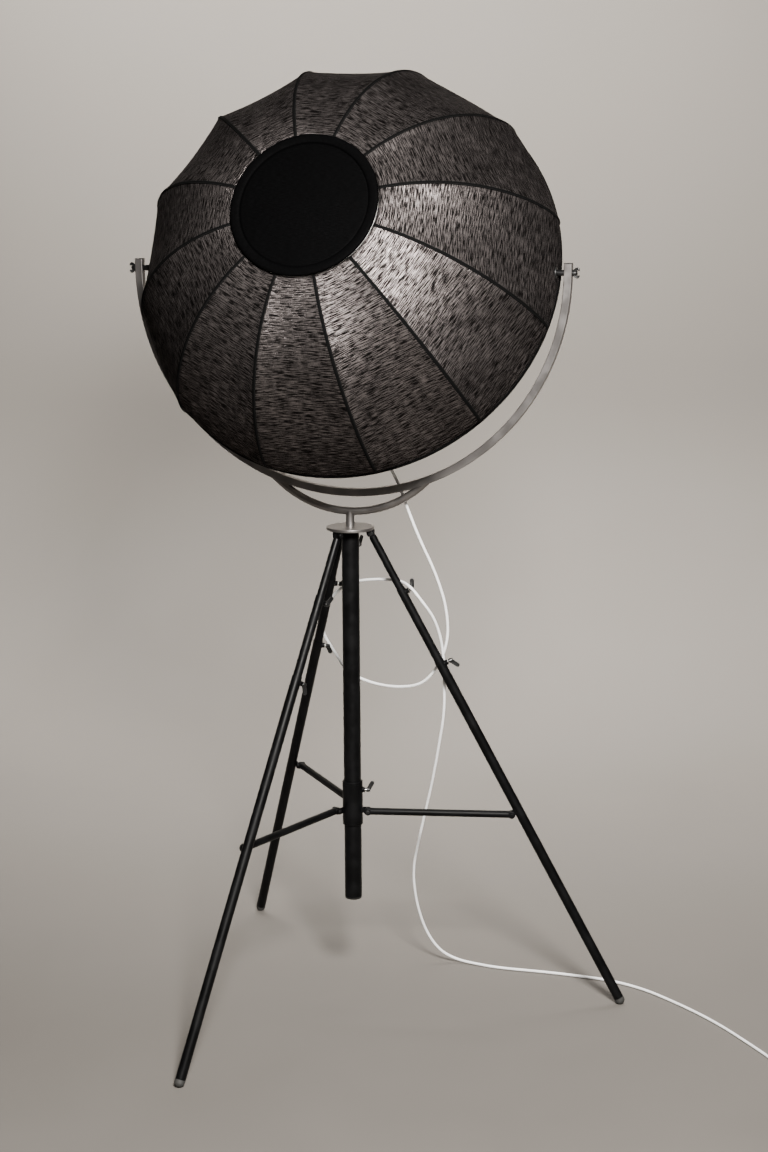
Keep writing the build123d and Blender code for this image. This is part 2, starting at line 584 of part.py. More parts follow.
# ---- mast, bow and yoke -----------------------------------------------------------------------------
def ring_bar(radius, section, half_turn):
    """Bar along the lower part of a ring in the plane of X and Z, half_turn to each side of the bottom."""
    face = Pos(radius, 0, 0) * section
    return Rot(0, 90 - half_turn, 0) * revolve(face, Axis.Y, 2 * half_turn)


def bow_tube():
    """Round tube that joins the mast to the yoke, cut to sit against the yoke's underside."""
    half_turn = degrees(asin(BOW_HALF_SPAN / BOW_RADIUS)) + BOW_TRIM
    ring = Circle(BOW_DIAMETER / 2) - Circle(BOW_DIAMETER / 2 - BOW_WALL)
    bow = Pos(0, 0, BOW_CENTRE) * ring_bar(BOW_RADIUS, ring, half_turn)
    inside = Pos(0, 0, YOKE_CENTRE) * Rot(90, 0, 0) * Cylinder(YOKE_OUTER_FACE, 4 * BOW_DIAMETER)
    return bow - inside


def mast_tube():
    """Mast from its guide in the column up to the bow, which it is cut to fit."""
    length = BOW_BOTTOM + BOW_DIAMETER / 2 - MAST_BOTTOM
    shell = Pos(0, 0, MAST_BOTTOM) * tube(MAST_DIAMETER, MAST_WALL, length)
    saddle = Pos(0, 0, BOW_CENTRE) * Rot(90, 0, 0) * Torus(BOW_RADIUS, BOW_DIAMETER / 2)
    return (shell - saddle).solids().sort_by(Axis.Z)[0]


def mast_guide():
    """Plug that runs in the column and that the mast's lower end turns on."""
    bottom = MAST_BOTTOM - SEAT_GAP - GUIDE_LENGTH
    disc = Pos(0, 0, bottom) * rod(COLUMN_DIAMETER - 2 * COLUMN_WALL - 2 * SLIDING_FIT, GUIDE_LENGTH)
    disc = chamfer(disc.edges().filter_by(GeomType.CIRCLE), GUIDE_CHAMFER)
    bore = MAST_DIAMETER - 2 * MAST_WALL
    stub = Pos(0, 0, bottom) * rod(bore - 2 * RUNNING_FIT, GUIDE_LENGTH + SEAT_GAP + GUIDE_STUB)
    return disc + chamfer(stub.edges().sort_by(Axis.Z)[-1], GUIDE_CHAMFER)


def yoke_bar():
    """Square tube bent to a half circle, with a straight tail above each pivot."""
    inner = YOKE_BAR - 2 * YOKE_WALL
    section = RectangleRounded(YOKE_BAR, YOKE_BAR, YOKE_CORNER) - Rectangle(inner, inner)
    tail = extrude(section, YOKE_TAIL)
    bar = ring_bar(YOKE_RADIUS, section, 90)
    for side in (-1, 1):
        bar = bar + Pos(side * YOKE_RADIUS, 0, 0) * tail
    bolt_length = 2 * (YOKE_OUTER_FACE + TOOL_RUN)
    bolt = Rot(0, 90, 0) * Cylinder(PIVOT_BOLT_DIAMETER / 2 + RUNNING_FIT, bolt_length)
    return Pos(0, 0, YOKE_CENTRE) * (bar - bolt)


def yoke_plugs():
    """End plugs of the yoke's tube, bored for the pivot bolts."""
    inner = YOKE_BAR - 2 * YOKE_WALL - 2 * RUNNING_FIT
    body = Pos(0, 0, YOKE_TAIL - YOKE_PLUG_DEPTH - YOKE_PLUG_HEAD) * Box(
        inner, inner, YOKE_PLUG_DEPTH + YOKE_PLUG_HEAD, align=BASE
    )
    head = Pos(0, 0, YOKE_TAIL) * Box(YOKE_BAR, YOKE_BAR, YOKE_PLUG_HEAD, align=BASE)
    head = fillet(head.edges().filter_by(Axis.Z), YOKE_CORNER)
    body = body + head
    bolt = Rot(0, 90, 0) * Cylinder(PIVOT_BOLT_DIAMETER / 2 + RUNNING_FIT, 2 * YOKE_BAR)
    plug = body - bolt
    return Compound(
        children=[Pos(side * YOKE_RADIUS, 0, YOKE_CENTRE) * plug for side in (-1, 1)]
    )


def wing_nut():
    """Wing nut along Z, seated on the origin."""
    hub = fillet(rod(NUT_HUB_DIAMETER, NUT_HUB_LENGTH).edges().sort_by(Axis.Z)[-1], NUT_EDGE)
    blade = wing(NUT_WING_LENGTH, NUT_WING_WIDTH, WING_THICKNESS, NUT_WING_SPREAD)
    blade = Pos(0, 0, NUT_WING_ROOT) * blade
    blade = blade - Box(4 * NUT_WING_LENGTH, NUT_HUB_DIAMETER, NUT_WING_LENGTH, align=TOP)
    nut = hub + blade + mirror(blade, Plane.YZ)
    bore_length = NUT_WING_ROOT + 2 * NUT_WING_LENGTH
    bore = Pos(0, 0, -TOOL_RUN) * rod(PIVOT_BOLT_DIAMETER + 2 * RUNNING_FIT, bore_length)
    return nut - bore


def side_place(side):
    """Pivot frame on one side: origin on the yoke's outer face, Z outwards."""
    return Pos(side * (YOKE_OUTER_FACE + SEAT_GAP), 0, YOKE_CENTRE) * Rot(0, side * 90, 0)


# ---- shade ------------------------------------------------------------------------------------------
def bowl_profile(inset=0.0, valley=False):
    """Four control points of the bowl's curve from hub to rim, as radius and height, moved inwards."""
    points = [
        (HUB_RADIUS, HUB_TOP),
        (HUB_RADIUS + SHOULDER_REACH, HUB_TOP - SHOULDER_FALL),
        (RIM_RADIUS + BELLY_REACH, BELLY_RISE - RIM_DROP),
        (RIM_RADIUS, -RIM_DROP),
    ]
    if valley:
        heart = BOWL_HEART - RIM_DROP
        pulled = [(VALLEY_PULL * r, heart + VALLEY_PULL * (h - heart)) for r, h in points[1:3]]
        points = [points[0], *pulled, points[3]]
    moves = [(0, -1), (-0.4, -1), (-1, -0.2), (-1, 0)]
    return [(r + inset * x, h + inset * y) for (r, h), (x, y) in zip(points, moves)]


def in_plane(points):
    """Points given as radius and height, in the plane of X and Z."""
    return [Vector(r, 0, h) for r, h in points]


def strip(outside, inside):
    """Flat face between two bowl curves."""
    outer, inner = Bezier(*in_plane(outside)), Bezier(*in_plane(inside))
    return Face(Wire([outer, Line(outer @ 1, inner @ 1), inner, Line(inner @ 0, outer @ 0)]))


def gore():
    """One panel of fabric, on its ribs at both long edges and sunk between them."""
    half = 180 / GORES
    ridge = strip(bowl_profile(), bowl_profile(FABRIC))
    valley = strip(bowl_profile(valley=True), bowl_profile(FABRIC, valley=True))
    return loft([about(-half) * ridge, valley, about(half) * ridge])


def cover():
    """Twelve gores, with holes for the pivot spacers."""
    hole = Rot(0, 90, 0) * Cylinder(SPACER_DIAMETER / 2 + FABRIC_HOLE_GAP, 3 * RIM_RADIUS)
    panel = gore()
    panels = []
    for index in range(GORES):
        placed = about(index * 360 / GORES) * panel
        panels.append(placed - hole if index % (GORES // 2) == 0 else placed)
    return head_place() * Compound(children=panels)


def around_ribs(piece):
    """Copies of a piece at every rib."""
    half = 180 / GORES
    made = [about(half + index * 360 / GORES) * piece for index in range(GORES)]
    return head_place() * Compound(children=made)


def ribs():
    """Flat bars under the seams, from the hub plate to the hoop."""
    back, belly = bowl_profile(FABRIC + RIB_GAP), bowl_profile(FABRIC + RIB_GAP + RIB_DEPTH)
    body = extrude(strip(back, belly), RIB_WIDTH / 2, both=True)
    (radius, top), (_, bottom) = back[0], belly[0]
    tail = Pos(radius - RIB_TAIL / 2, 0, (top + bottom) / 2) * Box(RIB_TAIL, RIB_WIDTH, top - bottom)
    return around_ribs(body + tail)


def seam_tapes():
    """Tapes sewn over the seams."""
    under, over = bowl_profile(-RUNNING_FIT), bowl_profile(-RUNNING_FIT - TAPE_THICKNESS)
    return around_ribs(extrude(strip(over, under), TAPE_WIDTH / 2, both=True))


def rim_hoop():
    """Round hoop that the ribs end on."""
    return head_place() * Pos(0, 0, HOOP_HEIGHT) * Torus(HOOP_RADIUS, HOOP_DIAMETER / 2)


def hub_plate():
    """Disc that the ribs' roots and the lamp's stem are fixed to."""
    plate = Pos(0, 0, PLATE_SEAT - HUB_PLATE_THICKNESS) * rod(2 * HUB_RADIUS, HUB_PLATE_THICKNESS)
    return head_place() * plate


def hub_ring():
    """Rounded ring over the gores' inner ends."""
    middle = HUB_RADIUS + HUB_RING_LAP - HUB_RING_WIDTH / 2
    round_off = (HUB_RING_HEIGHT - HUB_RING_FLAT) / 2
    section = RectangleRounded(HUB_RING_WIDTH, HUB_RING_HEIGHT, round_off)
    section = Plane.XZ * Pos(middle, HUB_TOP + SEAT_GAP + HUB_RING_HEIGHT / 2) * section
    return head_place() * revolve(section, Axis.Z, 360)


def hub_cap():
    """Shallow domed disc inside the ring."""
    edge = HUB_RADIUS + HUB_RING_LAP - HUB_RING_WIDTH - RUNNING_FIT
    low = HUB_TOP + SEAT_GAP + (HUB_RING_HEIGHT - HUB_CAP_THICKNESS) / 2
    high = low + HUB_CAP_THICKNESS
    crown = Vector(0, 0, high + HUB_CAP_DOME)
    bend = (edge**2 + HUB_CAP_DOME**2) / (2 * HUB_CAP_DOME)
    halfway = Vector(edge / 2, 0, crown.Z - bend + sqrt(bend**2 - edge**2 / 4))
    outline = Wire(
        [
            Line((0, 0, low), (edge, 0, low)),
            Line((edge, 0, low), (edge, 0, high)),
            ThreePointArc((edge, 0, high), halfway, crown),
            Line(crown, (0, 0, low)),
        ]
    )
    return head_place() * revolve(Face(outline), Axis.Z, 360)


def pivot_straps():
    """Straps inside the hoop that carry the pivots."""
    low, high = HOOP_HEIGHT - HOOP_DIAMETER / 2, PIVOT_STRAP_WIDTH / 2
    strap = Pos(STRAP_FACE - PIVOT_STRAP_THICKNESS, 0, low) * Box(
        PIVOT_STRAP_THICKNESS,
        PIVOT_STRAP_WIDTH,
        high - low,
        align=(Align.MIN, Align.CENTER, Align.MIN),
    )
    strap = fillet(strap.edges().filter_by(Axis.X), PIVOT_STRAP_CORNER)
    bolt = Rot(0, 90, 0) * Cylinder(PIVOT_BOLT_DIAMETER / 2 + RUNNING_FIT, 2 * RIM_RADIUS)
    strap = strap - bolt
    return head_place() * Compound(children=[strap, Rot(0, 0, 180) * strap])


def pivot_spacers():
    """Sleeves between the straps and the yoke."""
    bore = rod(PIVOT_BOLT_DIAMETER + 2 * RUNNING_FIT, SPACER_LENGTH)
    sleeve = rod(SPACER_DIAMETER, SPACER_LENGTH) - bore
    spacer = Pos(STRAP_FACE, 0, 0) * Rot(0, 90, 0) * sleeve
    return head_place() * Compound(children=[spacer, Rot(0, 0, 180) * spacer])


def pivot_bolts():
    """Bolts from inside the shade out through the yoke."""
    start = STRAP_FACE - PIVOT_STRAP_THICKNESS
    length = YOKE_OUTER_FACE + SEAT_GAP + NUT_HUB_LENGTH + BOLT_END - start
    hexagon = extrude(RegularPolygon(BOLT_HEAD_DIAMETER / 2, 6), BOLT_HEAD_HEIGHT)
    shank = rod(PIVOT_BOLT_DIAMETER, length)
    shank = chamfer(shank.edges().sort_by(Axis.Z)[-1], POINT_CHAMFER)
    bolt = Pos(start, 0, 0) * Rot(0, 90, 0) * (shank + Pos(0, 0, -BOLT_HEAD_HEIGHT) * hexagon)
    return head_place() * Compound(children=[bolt, Rot(0, 0, 180) * bolt])


# ---- lamp -------------------------------------------------------------------------------------------
def lamp_stem():
    """Flanged rod that carries the lampholder from the hub plate."""
    flange = Cylinder(STEM_FLANGE_DIAMETER / 2, STEM_FLANGE_THICKNESS, align=TOP)
    stem = Pos(0, 0, -STEM_FLANGE_THICKNESS) * Cylinder(STEM_DIAMETER / 2, STEM_LENGTH, align=TOP)
    return head_place() * Pos(0, 0, STEM_TOP) * (flange + stem)


def lampholder():
    """Cup-shaped holder, open towards the mouth."""
    body = Pos(0, 0, HOLDER_TOP) * Cylinder(HOLDER_DIAMETER / 2, HOLDER_LENGTH, align=TOP)
    body = fillet(body.edges().sort_by(Axis.Z)[-1], HOLDER_SHOULDER)
    inner = HOLDER_DIAMETER - 2 * HOLDER_WALL
    cavity = Pos(0, 0, HOLDER_TOP - HOLDER_LENGTH) * rod(inner, CAP_LENGTH)
    return head_place() * (body - cavity)


def bulb_cap():
    """Screw shell of the bulb."""
    seat = HOLDER_TOP - HOLDER_LENGTH + CAP_LENGTH
    cap = Cylinder(CAP_THREAD_DIAMETER / 2, CAP_LENGTH - 2 * RUNNING_FIT, align=TOP)
    cap = chamfer(cap.edges().sort_by(Axis.Z)[-1], CAP_CHAMFER)
    return head_place() * Pos(0, 0, seat - RUNNING_FIT) * cap


def bulb_glass():
    """Hollow globe with a neck."""
    neck_top = HOLDER_TOP - HOLDER_LENGTH - RUNNING_FIT
    radius, neck = BULB_DIAMETER / 2, BULB_NECK_DIAMETER / 2
    centre = neck_top - BULB_NECK_LENGTH - sqrt(radius**2 - neck**2)

    def blown(wall):
        """Solid of the bulb's shape, smaller by the wall."""
        stalk = Cylinder(neck - wall, neck_top - wall - centre, align=TOP)
        return Pos(0, 0, centre) * Sphere(radius - wall) + Pos(0, 0, neck_top - wall) * stalk

    return head_place() * (blown(0) - blown(BULB_WALL))


def grip_place():
    """Frame of the cord grip: origin on the holder's side, Z the way the cord leaves."""
    return head_place() * Pos(0, -HOLDER_DIAMETER / 2, HOLDER_TOP - GRIP_SETBACK) * Rot(90, 0, 0)


def cord_grip():
    """Tapered grip in the holder's side, where the cord leaves."""
    grip = Cone(GRIP_DIAMETER / 2, GRIP_MOUTH_DIAMETER / 2, GRIP_LENGTH, align=BASE)
    foot = Pos(0, 0, -GRIP_DIAMETER / 2) * rod(GRIP_DIAMETER, GRIP_DIAMETER / 2)
    return grip_place() * (grip + foot) - lampholder()


# ---- cord -------------------------------------------------------------------------------------------
def route_points():
    """Corners of the cord's tube, from the grip's mouth to the coil."""
    mouth = (grip_place() * Pos(0, 0, GRIP_LENGTH)).position
    below = (grip_place() * Pos(0, 0, GRIP_LENGTH + CORD_FIRST_RUN)).position
    listed = [Vector(*point) for point in CORD_ROUTE]
    way_in = (Vector(*COIL_JOINT) - listed[-1]).normalized()
    return [mouth, below, *listed, Vector(*COIL_JOINT) - way_in * COIL_LEAD]


def coil_place():
    """Coil's frame: on the floor, X the way the cord comes in, Y from the cord's joint to the centre."""
    way_in = Vector(*COIL_JOINT) - Vector(*CORD_ROUTE[-1])
    joint = Plane((COIL_JOINT[0], COIL_JOINT[1], 0), x_dir=way_in, z_dir=(0, 0, 1))
    return joint.location * Pos(0, COIL_OUTER_RADIUS - CORD_DIAMETER / 2, 0)


def corner_radii(points):
    """Radius of the arc at each inner corner of a route."""
    radii = []
    for before, corner, after in zip(points, points[1:], points[2:]):
        way_in, way_out = corner - before, after - corner
        turn = radians(way_in.get_angle(way_out))
        radii.append(CORD_RUN_SHARE * min(way_in.length, way_out.length) / tan(turn / 2))
    return radii


def cord_tube():
    """Cord along the stretch that is not coiled: straight runs joined by arcs."""
    points = route_points()
    path = FilletPolyline(*points, radius=corner_radii(points))
    section = Plane(path @ 0, z_dir=path % 0) * Circle(CORD_DIAMETER / 2)
    return sweep(section, path=path)


def cord_coil():
    """Outer shape of the cord's put-away length, wound into a ring."""
    section = Pos(COIL_PITCH_RADIUS, COIL_HEIGHT / 2) * RectangleRounded(
        COIL_WIDTH, COIL_HEIGHT, CORD_DIAMETER / 2
    )
    return coil_place() * revolve(Plane.XZ * section, Axis.Z, 360)


def plug_place():
    """Plug's frame: its thin end touches the coil, X towards its pins, lying on the floor."""
    side = COIL_OUTER_RADIUS - CORD_DIAMETER / 2
    return coil_place() * Pos(-COIL_LEAD, side, PLUG_THICKNESS / 2) * Rot(0, 0, 180)


def plug_body():
    """Flat two-pin plug with a tapered strain relief."""
    relief = Cone(PLUG_RELIEF_END / 2, PLUG_RELIEF_ROOT / 2, PLUG_RELIEF_LENGTH, align=BASE)
    relief = Rot(0, 90, 0) * relief
    back, front = PLUG_RELIEF_LENGTH, PLUG_RELIEF_LENGTH + PLUG_LENGTH
    half_neck, half_width = PLUG_NECK_WIDTH / 2, PLUG_WIDTH / 2
    outline = Polyline(
        (back, -half_neck),
        (back + PLUG_FLARE_LENGTH, -half_width),
        (front, -half_width),
        (front, half_width),
        (back + PLUG_FLARE_LENGTH, half_width),
        (back, half_neck),
        close=True,
    )
    body = extrude(make_face(outline), PLUG_THICKNESS / 2, both=True)
    body = fillet(body.edges().filter_by(GeomType.LINE).filter_by(Plane.XY), PLUG_EDGE)
    return plug_place() * (body + relief - pin_pair())


def pin_pair():
    """Two round pins with domed ends, in the plug's frame."""
    start = PLUG_RELIEF_LENGTH + PLUG_LENGTH - PIN_ROOT
    pin = Rot(0, 90, 0) * rod(PIN_DIAMETER, PIN_ROOT + PIN_LENGTH)
    pin = fillet(pin.edges().sort_by(Axis.X)[-1], PIN_DIAMETER * 0.3)
    return Pos(start, PIN_SPACING / 2, 0) * pin + Pos(start, -PIN_SPACING / 2, 0) * pin


def plug_pins():
    """The plug's pins."""
    return plug_place() * pin_pair()


# ---- assembly ---------------------------------------------------------------------------------------
def leg_nodes(name):
    """Pieces of one leg and its brace."""
    azimuth, turn = LEG_AZIMUTH[name], SCREW_TURN[name]
    place = leg_place(azimuth)
    lower_mouth = UPPER_SHOWN + MIDDLE_SHOWN
    return {
        f"{name}_leg_upper_tube": place * upper_tube(),
        f"{name}_leg_middle_tube": place * middle_tube(turn),
        f"{name}_leg_lower_tube": on_floor(place * lower_tube(turn)),
        f"{name}_foot_tip": on_floor(place * foot_tip()),
        f"{name}_leg_upper_thumb_screw": place * leg_screw(MIDDLE_DIAMETER, UPPER_SHOWN, turn, True),
        f"{name}_leg_lower_thumb_screw": place * leg_screw(LOWER_DIAMETER, lower_mouth, turn, False),
        f"{name}_brace": brace_place(azimuth) * brace(),
    }


def brace_pins():
    """One rivet at each of the collar's ears."""
    return Compound(children=[brace_place(azimuth) * brace_pin() for azimuth in LEG_AZIMUTH.values()])


def stand_nodes():
    """Pieces between the legs."""
    return {
        "top_plate": top_plate(),
        "leg_clevises": leg_clevises(),
        "leg_pins": leg_pins(),
        "column_tube": column_tube(),
        "column_cap": column_cap(),
        "column_thumb_screw": column_screw(),
        "mast_bush": mast_bush(),
        "collar": collar(),
        "collar_thumb_screw": collar_screw(),
        "brace_pins": brace_pins(),
    }


def yoke_nodes():
    """Mast, bow and yoke."""
    return {
        "mast_guide": mast_guide(),
        "mast_tube": mast_tube(),
        "bow_tube": bow_tube(),
        "yoke_bar": yoke_bar(),
        "yoke_plugs": yoke_plugs(),
        "left_wing_nut": side_place(-1) * wing_nut(),
        "right_wing_nut": side_place(1) * wing_nut(),
    }


def head_nodes():
    """Shade and lamp."""
    return {
        "shade_cover": cover(),
        "shade_ribs": ribs(),
        "seam_tapes": seam_tapes(),
        "rim_hoop": rim_hoop(),
        "hub_plate": hub_plate(),
        "hub_ring": hub_ring(),
        "hub_cap": hub_cap(),
        "pivot_straps": pivot_straps(),
        "pivot_spacers": pivot_spacers(),
        "pivot_bolts": pivot_bolts(),
        "lamp_stem": lamp_stem(),
        "lampholder": lampholder(),
        "bulb_cap": bulb_cap(),
        "bulb_glass": bulb_glass(),
        "cord_grip": cord_grip(),
    }


def cord_nodes():
    """Cord, coil and plug."""
    return {
        "cord_tube": cord_tube(),
        "cord_coil": cord_coil(),
        "plug_body": plug_body(),
        "plug_pins": plug_pins(),
    }


def lamp_nodes():
    """Every piece but the cord's, about the column's axis."""
    made = stand_nodes() | yoke_nodes() | head_nodes()
    for name in LEG_AZIMUTH:
        made |= leg_nodes(name)
    return made


def middle_of(shapes):
    """Where the middle of the bounding box of some shapes lies, seen from above."""
    boxes = [shape.bounding_box() for shape in shapes]
    low_x, high_x = min(box.min.X for box in boxes), max(box.max.X for box in boxes)
    low_y, high_y = min(box.min.Y for box in boxes), max(box.max.Y for box in boxes)
    return (low_x + high_x) / 2, (low_y + high_y) / 2


lamp = lamp_nodes()
MIDDLE_X, MIDDLE_Y = middle_of(lamp.values())
os.makedirs("parts", exist_ok=True)
for name, shape in (lamp | cord_nodes()).items():
    export_step(Pos(-MIDDLE_X, -MIDDLE_Y, 0) * shape, f"parts/{name}.step")
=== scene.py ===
"""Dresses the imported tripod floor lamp: sewn shade, mains cord, clamp screws, finishes, studio and camera.

Lengths are in metres and angles in degrees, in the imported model's frame, unless a name says otherwise.
"""

import json
import logging
from dataclasses import dataclass, field
from enum import Enum
from math import atan2, cos, degrees, exp, hypot, pi, radians, sin, sqrt
from typing import Callable, Iterable, Optional, Sequence, Union

import bmesh
import bpy
from mathutils import Matrix, Vector, noise


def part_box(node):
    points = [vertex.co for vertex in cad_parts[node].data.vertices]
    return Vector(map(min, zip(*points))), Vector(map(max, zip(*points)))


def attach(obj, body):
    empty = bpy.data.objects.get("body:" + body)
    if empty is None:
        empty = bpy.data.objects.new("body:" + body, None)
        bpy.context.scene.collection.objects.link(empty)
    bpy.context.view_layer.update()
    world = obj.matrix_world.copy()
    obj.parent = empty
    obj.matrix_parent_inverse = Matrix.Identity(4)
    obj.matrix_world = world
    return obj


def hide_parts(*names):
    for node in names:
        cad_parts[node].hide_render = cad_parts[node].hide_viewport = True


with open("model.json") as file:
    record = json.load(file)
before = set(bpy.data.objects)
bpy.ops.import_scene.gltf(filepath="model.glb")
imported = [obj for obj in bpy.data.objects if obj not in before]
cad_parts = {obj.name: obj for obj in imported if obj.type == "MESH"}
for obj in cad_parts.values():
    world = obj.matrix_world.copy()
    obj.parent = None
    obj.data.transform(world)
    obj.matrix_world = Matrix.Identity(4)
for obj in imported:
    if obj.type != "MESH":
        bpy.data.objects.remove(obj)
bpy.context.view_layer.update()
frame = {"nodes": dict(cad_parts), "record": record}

LOG = logging.getLogger("tripod_lamp")
Colour = tuple[float, float, float]
Pair = tuple[float, float]
MERGE = 1e-7

# Cycles per metre along each axis of the pattern.
SLUB_THREADS = (40.0, 560.0, 1.0)
FINE_THREADS = (80.0, 1150.0, 1.0)
WARP_THREADS = (900.0, 140.0, 1.0)
SCRATCHES = (900.0, 900.0, 45.0)


class Slot(str, Enum):
    """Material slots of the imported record."""

    PAINT = "black_paint"
    SATIN = "satin_grey"
    PLASTIC = "black_plastic"
    STEEL = "plated_steel"
    FABRIC = "black_fabric"
    TAPE = "black_tape"
    FRAME = "frame_paint"
    HOLDER = "holder_plastic"
    GLASS = "bulb_glass"
    BULB_METAL = "bulb_metal"
    FLEX = "grey_flex"
    PLUG_METAL = "plug_metal"


class Surface(Enum):
    """Where a finish reads its pattern from."""

    SOLID = "Object"
    CLOTH = "UV"


# ---- node trees ---------------------------------------------------------------------------------------
class Graph:
    """A shader node tree that is being filled in."""

    def __init__(self, tree: bpy.types.NodeTree) -> None:
        """Keep the tree that the nodes go into."""
        self.tree = tree

    def add(self, kind: str, inputs: Optional[dict] = None, **settings) -> bpy.types.Node:
        """Add a node.

        Args:
            kind: the node's type, without its leading "ShaderNode".
            inputs: values or sockets for the node's inputs, by name or index.
            **settings: properties set on the node before its inputs.

        Returns:
            The new node.
        """
        node = self.tree.nodes.new("ShaderNode" + kind)
        for name, value in settings.items():
            setattr(node, name, value)
        for name, value in (inputs or {}).items():
            if isinstance(value, bpy.types.NodeSocket):
                self.tree.links.new(value, node.inputs[name])
            else:
                node.inputs[name].default_value = value
        return node

    def group(self, tree: bpy.types.NodeTree, inputs: dict) -> bpy.types.Node:
        """Place a shared group."""
        return self.add("Group", inputs, node_tree=tree)

    def link(self, output: bpy.types.NodeSocket, taken: bpy.types.NodeSocket) -> None:
        """Join a node's output to an input."""
        self.tree.links.new(output, taken)

    def math(self, operation: str, first, second=0.0, third=0.0) -> bpy.types.NodeSocket:
        """Result of a Math node."""
        node = self.add("Math", {0: first, 1: second, 2: third}, operation=operation)
        return node.outputs[0]

    def span(self, value, low: float, high: float, to_low: float, to_high: float) -> bpy.types.NodeSocket:
        """Value mapped smoothly from one span to another, and held at its ends."""
        inputs = {"Value": value, "From Min": low, "From Max": high, "To Min": to_low, "To Max": to_high}
        return self.add("MapRange", inputs, interpolation_type="SMOOTHSTEP").outputs[0]

    def blend(self, share, first, second) -> bpy.types.NodeSocket:
        """Colour between two others."""
        node = self.add("Mix", {0: share, 6: first, 7: second}, data_type="RGBA")
        return node.outputs[2]

    def noise(self, vector, scale, detail: float = 3.0, roughness: float = 0.55) -> bpy.types.NodeSocket:
        """Noise of a given scale, in cycles per metre."""
        inputs = {"Vector": vector, "Scale": scale, "Detail": detail, "Roughness": roughness}
        return self.add("TexNoise", inputs).outputs[0]

    def stretched(self, vector, scale: Sequence[float]) -> bpy.types.NodeSocket:
        """Vector scaled differently along its axes."""
        return self.add("Mapping", {"Vector": vector, "Scale": tuple(scale)}).outputs[0]


